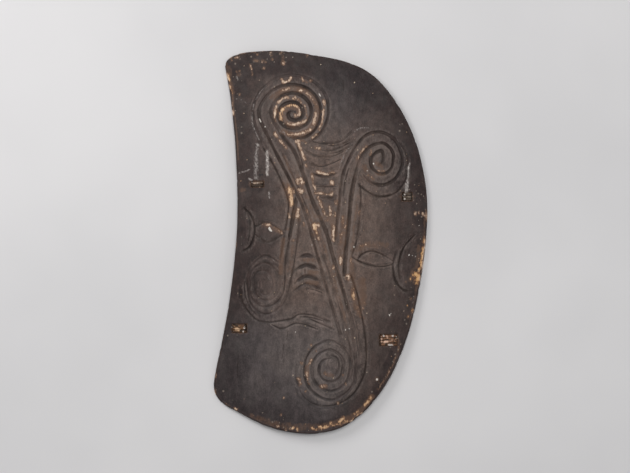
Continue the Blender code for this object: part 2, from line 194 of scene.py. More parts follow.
def nearest(places: np.ndarray, line: np.ndarray) -> tuple[np.ndarray, np.ndarray]:
    """Finds the nearest spot of a line to each place.

    Args:
        places: the places.
        line: the line's places, in order.

    Returns:
        The distances, and the spots as fractional indices along the line.
    """
    start_x, start_y = line[:-1].T
    run_x, run_y = np.diff(line, axis=0).T
    lengths = np.maximum(run_x**2 + run_y**2, 1e-12)
    distances = np.empty(len(places))
    spots = np.empty(len(places))
    block = max(64, 120000 // len(line))
    for first in range(0, len(places), block):
        part = slice(first, first + block)
        away_x = places[part, 0, None] - start_x
        away_y = places[part, 1, None] - start_y
        share = np.clip((away_x * run_x + away_y * run_y) / lengths, 0.0, 1.0)
        away_x -= share * run_x
        away_y -= share * run_y
        square = away_x**2 + away_y**2
        best = square.argmin(1)
        rows = np.arange(len(best))
        distances[part] = np.sqrt(square[rows, best])
        spots[part] = best + share[rows, best]
    return distances, spots


def close_to(places: np.ndarray, line: np.ndarray, reach: float) -> np.ndarray:
    """Picks the places within reach of the box around a line.

    Args:
        places: the places.
        line: the line's places.
        reach: how far outside the box they may be.

    Returns:
        Their indices.
    """
    low, high = line.min(0) - reach, line.max(0) + reach
    return np.flatnonzero(((places >= low) & (places <= high)).all(1))


def inside(places: np.ndarray, loop: np.ndarray) -> np.ndarray:
    """Tells which places lie inside a closed loop.

    Args:
        places: the places.
        loop: the loop's places, in order.

    Returns:
        True for each place inside.
    """
    after = np.roll(loop, -1, 0)
    result = np.zeros(len(places), bool)
    for first in range(0, len(places), BLOCK):
        part = slice(first, first + BLOCK)
        x, y = places[part, 0, None], places[part, 1, None]
        crosses = (loop[:, 1] > y) != (after[:, 1] > y)
        rise = np.where(after[:, 1] == loop[:, 1], 1.0, after[:, 1] - loop[:, 1])
        meets = loop[:, 0] + (y - loop[:, 1]) * (after[:, 0] - loop[:, 0]) / rise
        result[part] = (crosses & (x < meets)).sum(1) % 2 == 1
    return result


def spread_out(kept: list[Point], offered: np.ndarray, gap: float) -> list[Point]:
    """Adds the places that keep their distance from all those added before.

    Args:
        kept: the places that are there already.
        offered: the places to try, in order.
        gap: the distance to keep.

    Returns:
        The places that were there, and the new ones after them.
    """
    grid: dict[tuple[int, int], list[Point]] = {}
    result = list(kept)
    for x, y in kept:
        grid.setdefault((int(x // gap), int(y // gap)), []).append((x, y))
    for x, y in offered.tolist():
        column, row = int(x // gap), int(y // gap)
        crowd = (
            near
            for i in (-1, 0, 1)
            for j in (-1, 0, 1)
            for near in grid.get((column + i, row + j), ())
        )
        if all((x - u) ** 2 + (y - v) ** 2 >= gap * gap for u, v in crowd):
            grid.setdefault((column, row), []).append((x, y))
            result.append((x, y))
    return result


def fill_in(loops: Sequence[np.ndarray], *offers: tuple[np.ndarray, float]) -> np.ndarray:
    """Fills the area between loops with places that keep their distance.

    Args:
        loops: the loops, whose places are there already.
        offers: the places to try and the distance that they keep, in order of importance.

    Returns:
        The new places, without those of the loops.
    """
    fixed = [tuple(place) for loop in loops for place in loop]
    kept = fixed
    for offered, gap in offers:
        kept = spread_out(kept, offered, gap)
    return np.array(kept[len(fixed) :])


def squared(wave: np.ndarray, power: float) -> np.ndarray:
    """A sine or cosine with blunter turns, which makes a circle squarer."""
    return np.sign(wave) * np.abs(wave) ** power


# Objects.


def in_scene(name: str, data: bpy.types.ID) -> bpy.types.Object:
    """Puts a new object in the scene.

    Args:
        name: its name.
        data: its mesh, light or camera.

    Returns:
        The object.
    """
    made = bpy.data.objects.new(name, data)
    bpy.context.scene.collection.objects.link(made)
    return made


def paint_mesh(mesh: bpy.types.Mesh, values: dict[str, np.ndarray]) -> None:
    """Paints named values on a mesh's vertices, and shades it smooth.

    Args:
        mesh: the mesh.
        values: one number for each vertex, under each name.
    """
    for name, numbers in values.items():
        layer = mesh.attributes.new(name, "FLOAT", "POINT")
        layer.data.foreach_set("value", numbers.astype(np.float32))
    mesh.shade_smooth()


# The carver's drawing.


class Cut(Enum):
    """A gouge's cut: its width and its depth."""

    WIDE = (0.0125, 0.0045)
    MAIN = (0.0100, 0.0036)
    LIGHT = (0.0070, 0.0022)
    FINE = (0.0055, 0.0016)

    @property
    def half(self) -> float:
        """Half the cut's width."""
        return 0.5 * self.value[0]

    @property
    def depth(self) -> float:
        """The cut's depth."""
        return self.value[1]


@dataclass(frozen=True)
class Groove:
    """One carved line: its points on the drawing, its cut, and how it fades along its run."""

    points: tuple[Point, ...]
    cut: Cut
    strengths: tuple[float, ...] = (1.0, 1.0)


@dataclass(frozen=True)
class Mark:
    """A streak of wear or dirt: its points on the drawing, its half width in millimetres."""

    points: tuple[Point, ...]
    half_width: float
    strength: float = 1.0


Marks = tuple[Mark, ...]


def marks(*rows: tuple[float, ...]) -> Marks:
    """Makes marks from rows of numbers.

    Args:
        rows: a strength, a half width, and then x and y of each point; a mark with one
            point is a spot.

    Returns:
        One mark for each row.
    """
    made = []
    for strength, half_width, *numbers in rows:
        points = tuple(zip(numbers[::2], numbers[1::2]))
        if len(points) == 1:
            x, y = points[0]
            points = ((x, y - 0.7), (x, y + 0.7))
        made.append(Mark(points, half_width, strength))
    return tuple(made)


def coil(centre: Point, start: float, sweep: float, radii: Sequence[float]) -> tuple[Point, ...]:
    """Winds a line round a centre.

    Args:
        centre: the centre, on the drawing.
        start: the angle it starts at, in degrees.
        sweep: how far it turns, in degrees.
        radii: its radius at equal steps of the sweep.

    Returns:
        Points along the line.
    """
    steps = max(2, round(abs(sweep) / 30))
    points = []
    for i in range(steps + 1):
        share = i / steps
        radius = float(np.interp(share * (len(radii) - 1), range(len(radii)), radii))
        angle = math.radians(start + share * sweep)
        points.append((centre[0] + radius * math.cos(angle), centre[1] + radius * math.sin(angle)))
    return tuple(points)


@dataclass(frozen=True)
class Carving:
    """The scrolls, stems, rungs and waves that are cut into the face."""

    top: Point = (-71, 332)
    right: Point = (159, 210)
    left: Point = (-148, -110)
    foot: Point = (26, -331)

    def grooves(self) -> list[Groove]:
        """Every groove of the face.

        Returns:
            The grooves.
        """
        return (
            self.top_scroll()
            + self.left_stem()
            + self.right_stem()
            + self.ladder()
            + self.waves()
            + self.edge_eyes()
        )

    def top_scroll(self) -> list[Groove]:
        """The top spiral, and the long diagonal stem that runs down from it.

        Returns:
            The grooves.
        """
        inner = coil(self.top, 90, 810, (5, 13, 15, 26, 31, 39, 36, 47, 56, 57))
        inner_strengths = (1.0, 1.0, 0.8, 0.9, 0.8, 0.75, 1.0, 0.9, 0.5, 0.4)
        diagonal = (
            (-96, 271), (-70, 238), (-48, 186), (-21, 108), (13, 31), (34, -43), (57, -121),
            (79, -204), (89, -280),
        )  # fmt: skip
        diagonal_strengths = (0.8, 0.85, 0.8, 0.75, 0.7, 0.75, 0.7, 0.5, 0.42)
        foot = coil(self.foot, 0, -990, (66, 80, 67, 74, 50, 57, 48, 51, 32, 33, 30, 29))
        foot_strengths = (0.45, 0.45, 0.75, 1.10, 0.55, 0.42, 0.50, 0.65, 0.70, 0.50, 0.75, 0.70)
        ring = coil(self.top, 262, 278, (62, 69, 71, 76, 77, 83, 89))
        ring_strengths = (0.8, 1.0, 1.0, 0.85, 0.55, 0.8, 1.15)
        ring_stem = ((-132, 264), (-75, 152), (-42, 82), (-13, -17), (14, -113), (55, -251))
        stem_strengths = (1.0, 0.60, 0.75, 0.70, 0.65, 0.65)
        outer = coil(self.top, 302, 238, (85, 89, 99, 102, 104, 105))
        outer_strengths = (0.9, 0.85, 0.4, 0.2, 0.35, 0.5)
        outer_stem = ((-151, 248), (-117, 191), (-86, 118), (-83, 82), (-92, 24))
        between = (
            (-101, 233), (-49, 121), (-21, 43), (13, -53), (36, -126), (62, -217), (77, -275),
            (82, -312), (83, -340), (74, -368),
        )  # fmt: skip
        return [
            Groove(inner, Cut.WIDE, inner_strengths),
            Groove(
                inner[-2:] + diagonal + foot[:2],
                Cut.WIDE,
                inner_strengths[-2:] + diagonal_strengths + foot_strengths[:2],
            ),
            Groove(foot, Cut.MAIN, foot_strengths),
            Groove(ring + ring_stem, Cut.MAIN, ring_strengths + stem_strengths),
            Groove(outer + outer_stem[:1], Cut.MAIN, outer_strengths + (0.5,)),
            Groove(outer_stem, Cut.LIGHT, (0.9, 1.3, 1.5, 1.4, 1.0)),
            Groove(between, Cut.LIGHT, (0.7, 0.6, 0.5, 0.6, 0.6, 0.6, 0.8, 0.8, 0.7, 0.4)),
            Groove(((-62, 261), (-55, 233), (-44, 191)), Cut.LIGHT),
            Groove(((28, -294), (44, -303), (48, -326), (38, -352)), Cut.LIGHT, (0.9, 0.6)),
            Groove(((22, -297), (19, -316), (19, -338)), Cut.LIGHT, (0.8, 0.5)),
        ]

    def left_stem(self) -> list[Groove]:
        """The stem that leaves the diagonal and winds into the left spiral.

        Returns:
            The grooves.
        """
        winding = coil(self.left, 0, -970, (55, 60, 33, 56, 42, 44, 22, 38, 24, 30, 9, 12))
        around = (
            (-55, 77), (-57, 25), (-68, -53), (-78, -105), (-86, -140), (-106, -172),
            (-140, -187), (-165, -178), (-184, -152), (-190, -110), (-188, -82), (-172, -53),
            (-140, -36), (-104, -56),
        )  # fmt: skip
        return [
            Groove(((-94, 16), (-98, -12), (-104, -48)), Cut.LIGHT, (0.9, 1.0, 0.9)),
            Groove(((-64, 121), (-66, 95), (-73, 55), (-82, -2)), Cut.WIDE),
            Groove(
                ((-78, 25), (-84, -10), (-91, -53)) + winding,
                Cut.LIGHT,
                (0.8, 0.9, 0.8) + (0.7, 0.6, 0.5, 0.35, 0.5, 0.4, 0.35, 0.4, 0.45, 0.4, 0.3, 0.3),
            ),
            Groove(
                around,
                Cut.LIGHT,
                (0.8, 0.9, 0.9, 0.8, 0.5, 0.4, 0.7, 0.6, 0.75, 0.9, 0.6, 0.4, 0.5, 0.7),
            ),
            Groove(((-198, -103), (-196, -136), (-184, -170), (-166, -190)), Cut.FINE, (0.9, 0.6)),
        ]

    def right_stem(self) -> list[Groove]:
        """The right spiral, and the stem that runs down from it beside the diagonal.

        Returns:
            The grooves.
        """
        inner = ((152, 198), (162, 209), (164, 224)) + coil(self.right, 90, 360, (27, 26, 33, 30, 48))
        inner_stem = ((126, 246), (106, 219), (92, 180), (80, 120), (73, 43), (66, -22), (61, -100))
        ring = coil(self.right, 210, 240, (60, 62, 55, 57, 76))
        ring_stem = ((121, 279), (93, 249), (71, 208), (57, 168), (48, 95), (37, -6))
        outer = coil(self.right, 410, -176, (69, 68, 80, 95, 86))
        below = (
            (78, -84), (86, -106), (96, -138), (107, -190), (115, -235), (119, -280),
            (119, -312), (114, -343), (102, -371), (85, -396), (62, -414), (33, -426), (4, -428),
            (-22, -421), (-41, -406), (-54, -384), (-62, -360), (-64, -336), (-58, -313),
        )  # fmt: skip
        below_strengths = (
            1.5, 1.5, 1.4, 1.3, 1.2, 1.2, 1.2, 1.2, 1.1, 1.1, 1.0, 0.8, 0.7, 0.65, 0.6, 0.6, 0.7,
            0.65, 0.5,
        )  # fmt: skip
        return [
            Groove(
                inner + inner_stem,
                Cut.MAIN,
                (0.8, 1.0, 1.0) + (1.0, 1.0, 1.0, 0.8, 0.65) + (0.65, 0.8, 0.9, 0.9, 0.9, 0.9, 1.0),
            ),
            Groove(((92, 180), (80, 120), (73, 43), (66, -22), (61, -95)), Cut.WIDE, (0.9, 0.9)),
            Groove(
                ring + ring_stem,
                Cut.MAIN,
                (0.7, 0.85, 0.7, 0.5, 0.6) + (0.9, 0.85, 0.8, 0.75, 0.8, 0.7),
            ),
            Groove(outer + ((98, 152),), Cut.LIGHT, (0.5, 0.7, 0.9, 1.2, 1.3, 1.3)),
            Groove(((131, 228), (128, 206), (134, 186)), Cut.LIGHT, (0.5, 1.2, 0.6)),
            Groove(
                ((103, 152), (105, 112), (103, 72), (99, 34), (94, 4), (88, -18), (81, -36)),
                Cut.LIGHT,
                (0.9, 1.0, 0.8, 0.9, 0.9, 1.0, 1.0),
            ),
            Groove(((73, 191), (64, 155), (60, 121)), Cut.FINE),
            Groove(below, Cut.LIGHT, below_strengths),
            Groove(((83, -183), (94, -235), (100, -295), (98, -330)), Cut.LIGHT, (0.35, 0.3)),
        ]

    def ladder(self) -> list[Groove]:
        """The short cuts, like rungs, above and below the crossing of the stems.

        Returns:
            The grooves.
        """
        rungs = (
            (Cut.MAIN, 0.95, ((-21, 177), (13, 170), (44, 179))),
            (Cut.LIGHT, 0.9, ((-10, 144), (13, 143), (39, 144))),
            (Cut.MAIN, 0.8, ((-4, 115), (16, 114), (38, 115))),
            (Cut.WIDE, 0.42, ((-58, -41), (-35, -34), (-14, -41))),
            (Cut.WIDE, 0.74, ((-66, -73), (-45, -62), (-27, -61), (-3, -72))),
            (Cut.WIDE, 0.62, ((-68, -108), (-46, -91), (-26, -89), (0, -101))),
            (Cut.LIGHT, 0.75, ((-68, -128), (-48, -111), (-30, -109), (5, -125))),
        )
        link = Groove(((-40, -64), (-40, -88)), Cut.LIGHT, (0.5, 0.5))
        echo = Groove(((-34, -121), (-16, -124), (3, -131)), Cut.FINE)
        cuts = [Groove(points, cut, (share, share)) for cut, share, points in rungs]
        return cuts + [link, echo]

    def waves(self) -> list[Groove]:
        """The shallow waving lines between the spirals.

        Returns:
            The grooves.
        """
        upper = (
            ((-21, 261), (10, 255), (52, 261), (83, 287)),
            ((-5, 240), (31, 238), (78, 259)),
            ((-47, 246), (-21, 226), (26, 221), (65, 238)),
            ((-26, 204), (5, 196), (52, 214)),
            ((20, 250), (50, 252), (82, 268)),
            ((24, 229), (52, 236), (80, 250)),
        )
        outer = coil(self.left, 186, 70, (60, 73, 92))
        swell = ((-140, -209), (-99, -204), (-75, -200), (-55, -188), (-18, -191), (26, -209))
        lower = (
            outer + swell,
            ((-29, -199), (5, -214), (36, -228)),
            ((-127, -214), (-99, -225), (-60, -211), (-8, -226)),
            ((-52, -194), (-25, -196), (8, -205)),
        )
        fine = [Groove(points, Cut.FINE, (1.15, 1.15)) for points in upper]
        return fine + [Groove(points, Cut.LIGHT, (0.9, 0.9)) for points in lower]

    def edge_eyes(self) -> list[Groove]:
        """The half ellipses at the two sides, each with a leaf that points to the middle.

        Returns:
            The grooves.
        """
        eyes = (
            (((-201, 91), (-177, 63), (-171, 27), (-182, -9), (-203, -25)), (1.2, 1.2)),
            (((249, 21), (217, -15), (204, -61), (209, -103)), (0.9, 1.4, 1.2, 0.6)),
            (
                ((199, -23), (189, -59), (195, -99), (213, -123), (237, -131)),
                (0.4, 1.0, 1.5, 1.6, 0.5),
            ),
        )
        leaves = (
            (Cut.FINE, 1.4, ((-172, 38), (-138, 50), (-96, 25))),
            (Cut.FINE, 1.2, ((-172, 22), (-138, -1), (-96, 20))),
            (Cut.LIGHT, 1.1, ((96, -47), (107, -33), (127, -24), (149, -27), (167, -36))),
            (Cut.FINE, 1.2, ((149, -27), (171, -38), (193, -52))),
            (Cut.FINE, 1.8, ((82, -39), (102, -51), (128, -60), (154, -64), (174, -62), (193, -56))),
            (Cut.FINE, 1.0, ((-190, 79), (-183, 43), (-187, 4))),
        )
        wide = [Groove(points, Cut.LIGHT, strengths) for points, strengths in eyes]
        return wide + [Groove(points, cut, (share, share)) for cut, share, points in leaves]


@dataclass(frozen=True)
class Wear:
    """Where handling, knocks and dirt have left their marks on the face, with painted highlight and shade
    among them.

    Each row gives a strength, a half width, and points of the drawing, all in millimetres.
    """

    carving: Carving = field(default_factory=Carving)

    # Bare wood on the ridges of the top scroll.
    bare_top_scroll: Marks = marks(
        (1.1, 5.5, -103, 318, -105, 335, -99, 346),
        (0.9, 3.2, -99, 346, -87, 353, -72, 356, -62, 353, -55, 343),
        (1, 4.5, -54, 338, -56, 331, -66, 328), (1, 4.2, -85, 308, -70, 305, -60, 308),
        (1.1, 4, -58, 308, -45, 311, -37, 317), (0.6, 3, -36, 318, -36, 330),
        (1, 3.2, -111, 362, -101, 371, -88, 376), (0.7, 2.2, -88, 376, -80, 373),
        (1, 3.2, -74, 373, -69, 372), (0.9, 2.6, -67, 378, -66, 375),
        (1.1, 2.8, -115, 352, -118, 338, -120, 324), (0.6, 2.2, -120, 322, -118, 314),
        (0.5, 3, -58, 372, -52, 365, -42, 358), (0.5, 2.5, -40, 356, -36, 340),
        (1, 2.4, -101, 423, -96, 415, -84, 419), (0.95, 2.6, -84, 419, -79, 422, -77, 427),
        (0.8, 2.8, -48, 427, -45, 420), (0.6, 2.2, -37, 414), (0.6, 2.4, -27, 419, -22, 420),
        (0.85, 2.6, -98, 395, -82, 399), (0.4, 2.2, -108, 389, -98, 392), (0.8, 4, -57, 395, -46, 394),
        (0.65, 3.2, -36, 387, -29, 380, -21, 371), (0.6, 3, -15, 363, -12, 357),
        (0.5, 3, -10, 354, -9, 338), (1, 3.8, -12, 334, -15, 318, -19, 306),
        (1, 3.8, -26, 291, -44, 284, -62, 281, -84, 278), (0.6, 3, -95, 287, -88, 283),
        (0.8, 3.2, 8, 368, 10, 354), (0.9, 2.2, 7, 344, 6, 326, 2, 306, -4, 291),
        (1, 3.4, -9, 279, -20, 271), (1, 3.4, -118, 282, -113, 273), (0.8, 3.2, -106, 264, -99, 256),
        (0.7, 3, -97, 255, -88, 245), (1, 3, -64, 261, -55, 263),
        (1, 3.2, -58, 258, -54, 246, -50, 238, -46, 227, -41, 213), (0.6, 2.6, -38, 201, -37, 197),
        (0.7, 2, -45, 262, -38, 257), (1, 2.8, -12, 245, -2, 243),
    )  # fmt: skip

    # Bare wood on the stems, the rungs and the leaves.
    bare_middle: Marks = marks(
        (1.1, 3.8, -9, 182, 0, 179, 5, 178), (0.9, 2.2, 5, 177, 20, 175),
        (0.8, 2.4, 24, 180, 31, 182, 36, 178), (0.9, 2.6, -22, 175, -21, 163),
        (0.8, 2.2, -21, 159, -19, 149), (1, 2.5, -17, 146, -14, 138), (1, 3.2, -61, 161, -59, 151),
        (1.1, 4.8, -50, 163, -47, 154), (1, 4, -55, 136, -46, 133), (0.8, 3.4, -51, 131, -50, 126),
        (1.15, 4.6, 29, 157, 30, 152), (1, 2.5, -14, 126, 5, 126), (0.7, 1.8, 5, 125, 25, 123),
        (0.9, 3, 29, 128, 29, 122), (0.8, 2.8, -8, 119, -6, 116), (1, 2.5, -4, 109, 1, 97, 5, 89),
        (0.8, 2.3, 7, 82, 11, 71), (0.9, 2.9, 41, 106, 41, 100), (0.7, 2.2, 22, 92, 26, 80, 26, 70),
        (0.8, 2.5, 38, 76, 37, 67), (0.7, 4.5, -83, 149, -82, 141), (1, 6, -82, 138, -78, 127),
        (0.6, 3, -70, 142, -66, 128), (1.2, 5.2, -76, 122, -75, 106, -74, 100),
        (0.8, 3.6, -75, 97, -78, 92), (1, 3.8, -58, 86, -59, 72), (1, 4.8, -60, 70, -60, 66),
        (0.9, 2.6, -82, 72, -80, 65), (0.7, 3.2, -45, 49, -44, 42), (0.6, 2.6, -35, 82, -34, 78),
        (1.1, 4.6, -18, 44, -5, 44), (1.15, 4.8, -16, 41, -14, 35), (0.9, 3, -13, 28, -8, 22),
        (0.7, 2.6, -6, 12, -5, 7), (0.6, 2.6, -71, 4), (0.5, 3, -85, 34), (0.5, 3.4, 13, 56, 20, 56),
        (0.8, 3, 33, 45, 35, 32), (1.1, 3.2, 34, 30, 33, 18, 33, 5), (0.9, 2.4, 58, 66, 58, 48),
        (0.6, 3, 66, 42, 62, 37), (0.6, 2.6, 61, 26, 53, 19), (0.4, 2.4, 53, 14, 52, -6),
        (1, 3.5, 52, -42, 53, -56), (0.7, 2, 101, 80, 101, 71), (1, 3.6, -140, 45, -132, 45),
        (0.8, 2.5, -109, 32, -100, 24), (0.5, 2.2, -121, 38, -110, 33), (0.6, 3, 33, -62, 34, -68),
        (0.5, 2.6, 38, -84), (1, 3, 73, -85, 73, -97), (0.6, 2.8, 67, -85, 66, -92),
        (0.6, 3.4, 84, -121, 84, -129), (1.1, 4.6, 86, -132, 86, -147), (0.6, 3.2, 96, -168, 96, -173),
        (0.6, 2.4, 99, -179, 101, -185), (0.6, 2.2, 104, -195), (0.6, 2.2, 112, -197),
        (0.5, 4, 110, -150, 112, -159), (0.5, 3, 111, -172), (0.5, 2.6, 80, -45, 79, -55),
        (0.7, 2.4, 121, 250, 105, 232, 92, 212), (0.6, 2.2, 131, 238, 129, 227),
        (0.4, 2.6, 150, 185, 165, 184), (0.5, 1.8, 124, 174, 140, 162), (0.5, 2.4, 104, -10, 118, -7),
    )  # fmt: skip

    # Bare wood on the foot scroll.
    bare_foot: Marks = marks(
        (0.7, 3, -48, -315), (1, 2.6, -23, -306, -30, -320), (0.8, 3, -37, -339, -35, -349),
        (0.6, 2.5, -34, -353, -31, -368), (0.9, 3.2, -57, -355, -52, -367), (0.7, 2.5, -54, -372),
        (0.5, 3, 13, -337, 12, -343), (0.5, 6, 3, -376, 11, -376), (0.6, 3, 66, -369),
        (0.8, 3, 45, -419), (0.5, 2.6, -24, -267), (0.4, 2.4, -31, -278), (0.4, 2.4, -12, -283),
        (0.4, 2.4, 58, -345), (0.4, 2.6, -39, -388),
    )  # fmt: skip

    # Bare wood on the rim; the rows along the upper left edge are partly a painted highlight, where that
    # edge catches the light from the left.
    bare_rim_and_lit_edge: Marks = marks(
        (0.7, 3, -248, 466, -247, 450, -243, 430), (0.8, 3.8, -241, 438, -239, 424),
        (0.6, 2.6, -237, 414, -233, 390, -231, 355), (0.55, 2.4, -229, 345, -226, 306),
        (0.6, 2.4, -223, -2, -225, -24), (0.5, 2.2, -232, -100, -236, -130),
        (0.7, 2.8, -238, 482, -225, 489, -205, 494), (0.6, 2.2, -200, 496, -150, 499),
        (0.6, 2.8, -165, 489), (0.7, 3.2, -222, 483, -212, 482), (0.6, 2.6, -232, 475),
        (0.7, 2.8, -128, 487), (0.6, 3, -130, 494), (0.5, 2.4, -183, 492),
        (0.45, 4, -152, 471, -144, 470), (0.38, 3.4, -173, 474, -164, 472), (0.6, 2.2, -126, 475),
        (0.6, 3.2, -103, 492), (0.5, 2.8, -98, 483), (0.9, 3.6, -98, 468, -96, 465),
        (0.6, 1.9, -186, 463, -182, 458, -180, 447, -179, 436), (0.6, 2.5, -147, 453),
        (0.5, 2.6, -218, 445, -212, 447), (0.5, 2.6, -211, 385), (0.5, 2.4, -35, 484),
        (0.65, 2.8, 248, 77, 249, 71), (0.5, 2.2, 257, 75), (0.65, 3, 267, 75, 269, 70),
        (0.5, 2.6, 277, 82, 278, 56), (0.6, 2.4, 273, 24), (0.8, 3.2, 273, 14, 270, -4),
        (1.15, 5.4, 270, -15, 268, -29, 266, -44), (1.1, 5, 266, -52, 264, -66),
        (0.95, 4.5, 259, -68, 255, -76), (0.85, 3.6, 268, -44, 264, -78),
        (1.15, 6.6, 247, -85, 254, -88, 253, -98), (0.8, 3.2, 246, -98, 245, -105),
        (0.8, 3, 251, -100, 250, -109), (0.7, 3, 254, -104, 253, -114),
        (0.8, 2.6, 236, -92, 235, -98), (0.5, 3, 240, -176, 239, -184),
        (0.5, 3.4, 228, -193, 229, -197), (0.45, 2.2, 226, -166), (0.4, 2.4, 236, -149),
        (0.4, 3, 224, -103), (0.5, 2, 206, -268, 197, -300, 172, -350, 150, -384),
        (0.9, 4.4, 133, -402, 123, -416), (0.85, 4, 122, -416, 115, -426),
        (0.7, 2.8, 97, -440, 89, -449), (0.5, 2.4, 105, -444, 95, -453), (0.4, 2.4, 88, -459, 79, -463),
        (1.1, 4.8, 60, -458, 49, -467), (0.7, 3.4, 62, -468, 72, -464),
        (0.7, 2.6, 22, -479, 36, -476, 50, -474, 66, -470), (0.7, 2.4, 59, -473, 53, -476),
        (0.6, 2.6, 72, -469, 80, -466), (1, 3, 28, -469, 26, -474), (0.7, 3, 21, -478, 37, -477),
        (1, 3.4, -3, -480, 8, -483, 20, -480), (1, 3.2, -22, -486, -17, -486),
        (0.7, 2.6, -12, -488, 0, -487), (0.6, 3, -60, -485, -60, -491),
        (1.1, 3.8, -76, -485, -71, -485), (0.6, 2.8, -90, -486), (0.6, 2.6, -112, -480, -107, -480),
        (0.3, 2.2, -125, -478, -120, -479), (0.5, 2.8, -142, -473), (0.5, 2.6, -162, -463),
        (0.9, 4, -223, -436, -218, -438), (0.6, 3, -252, -424, -238, -430),
        (0.5, 3, -275, -398, -279, -380, -276, -345), (0.4, 2.8, -95, -405), (0.4, 2.8, -102, -450),
    )  # fmt: skip

    # Where the bare wood is warmer: orange-brown rather than pink.
    honey: Marks = marks(
        (1.4, 26, 262, 40, 268, -30, 248, -100, 236, -180), (0.6, 16, -100, 325, -98, 345, -70, 358),
        (1.2, 24, -244, 466, -238, 420, -230, 360, -222, 250),
        (0.65, 26, 130, -405, 90, -445, 40, -470, -60, -486), (0.5, 14, -84, 150, -78, 120, -72, 96),
        (0.5, 12, 82, -120, 88, -160), (0.4, 10, -18, 46, -10, 20),
    )  # fmt: skip

    # Small pale spots of lime and old paint.
    specks: Marks = marks(
        (1.2, 3.2, -133, 37, -131, 32, -127, 29), (0.5, 2.2, -125, -44, -119, -50),
        (0.45, 1.8, -138, -88, -133, -97, -131, -104), (1, 2, -159, 320, -155, 312),
        (1, 2.2, -144, 300), (0.8, 2, -7, 394), (0.8, 1.6, -3, 386, 1, 375), (0.7, 2.2, -157, 11),
        (0.9, 2.6, 231, -34), (0.8, 2.4, 239, -35), (0.8, 2.4, 248, -37), (0.6, 2.2, 257, -38),
        (0.8, 2.4, 257, 43), (0.6, 2, 246, 25), (0.9, 2.8, 138, 204), (0.9, 2.8, 121, 185),
        (0.9, 2.5, 87, -13), (0.6, 2.2, 135, -7), (0.5, 2, 141, -7), (0.7, 2.4, 153, -7),
        (0.5, 2.4, 168, -55, 173, -54), (0.5, 2.2, 145, -52), (0.5, 2.4, 184, -32), (0.7, 2.6, -65, -234),
        (0.7, 2.8, 65, -228), (0.7, 2.4, 75, -225), (0.8, 2.6, 113, -271), (0.4, 2.2, 105, -295),
        (1.1, 3.6, 147, -358), (1, 2.5, 180, -190), (0.7, 2, 184, -186), (0.6, 2.2, 236, -117),
        (0.6, 2.2, -72, 4), (0.6, 2.4, -22, -7), (0.4, 2, 8, -467), (0.9, 2.4, 219, 122),
        (0.9, 2.2, 220, 112), (0.8, 2.2, 164, -243), (0.6, 2.2, -231, -222), (0.7, 2.2, -196, -225),
        (0.5, 2, -61, -138), (0.5, 2, -20, -162), (0.4, 2.4, 110, 288, 120, 284),
        (0.4, 2, 215, 241, 214, 234), (0.4, 1.6, 164, 152, 176, 152),
    )  # fmt: skip

    # Places where the soot is thin, so that brown wood shows through it.
    thinned: Marks = (
        Mark(coil(Carving.top, -120, 260, (52, 60, 66, 68)), 12, 0.8),
        Mark(coil(Carving.top, 0, 320, (12, 24, 34)), 10, 0.7),
    ) + marks(
        (0.7, 14, 22, 66, 32, 50, 36, 15), (0.6, 9, 2, 100, 10, 72),
        (0.5, 7, -22, 175, -16, 140, -8, 115), (0.6, 16, -92, 150, -74, 90, -60, 60),
        (0.6, 14, -18, 46, -14, 20), (0.6, 14, 62, 60, 60, 20, 52, -40),
        (0.55, 7, -62, 180, -28, 98, 0, 25, 24, -60, 48, -140, 70, -220),
        (0.5, 6, -96, 225, -60, 135, -34, 80, -8, 5), (0.55, 7, 96, 120, 90, 60, 84, 10, 76, -60),
        (0.5, 9, -10, 66, 22, 56, 38, 60), (0.8, 9, -97, 5, -101, -40, -103, -80),
        (0.5, 10, -72, -10, -80, -80), (0.7, 12, 82, -60, 88, -140, 100, -185),
        (0.9, 14, 108, -100, 110, -160), (0.7, 9, -40, -46, -15, -48), (0.8, 9, -30, -78, -8, -80),
        (0.7, 9, -36, -103, -8, -108), (0.5, 5, 272, 60, 271, 14, 264, 0),
        (0.7, 8, 256, -12, 252, -60, 240, -76, 234, -100),
        (0.55, 6, 251, -118, 246, -150, 240, -190, 232, -225),
        (1, 5, -231, 385, -226, 330, -219, 270, -216, 215),
        (0.7, 5, -215, 170, -216, 100, -220, 0, -230, -100, -250, -230), (0.7, 8, -200, 137, -208, 134),
        (0.6, 10, -240, 455, -236, 420, -230, 390), (0.5, 8, -99, 494, -98, 464),
        (0.5, 8, -170, 473, -145, 470), (0.9, 15, -222, -225, -206, -229),
        (0.8, 18, 160, -254, 196, -256), (0.8, 15, 214, 118, 236, 118), (0.7, 12, -180, 152, -152, 152),
        (0.6, 14, -180, -455, -120, -474, -60, -482, 0, -480),
        (0.8, 12, 0, -482, 50, -468, 100, -445, 135, -405), (0.8, 9, -148, 44, -128, 38, -104, 26),
        (0.6, 14, 96, -20, 120, -8, 170, -8), (0.8, 9, 145, 205, 158, 195), (0.8, 10, 114, 196, 118, 186),
        (0.5, 9, 140, 175, 165, 175), (0.8, 9, -36, -325, -34, -348), (0.7, 9, 12, -342, 32, -348),
        (0.8, 9, 2, -376, 14, -376), (0.7, 10, 147, -358), (0.6, 10, -213, 437), (0.5, 9, -50, -316),
    )  # fmt: skip
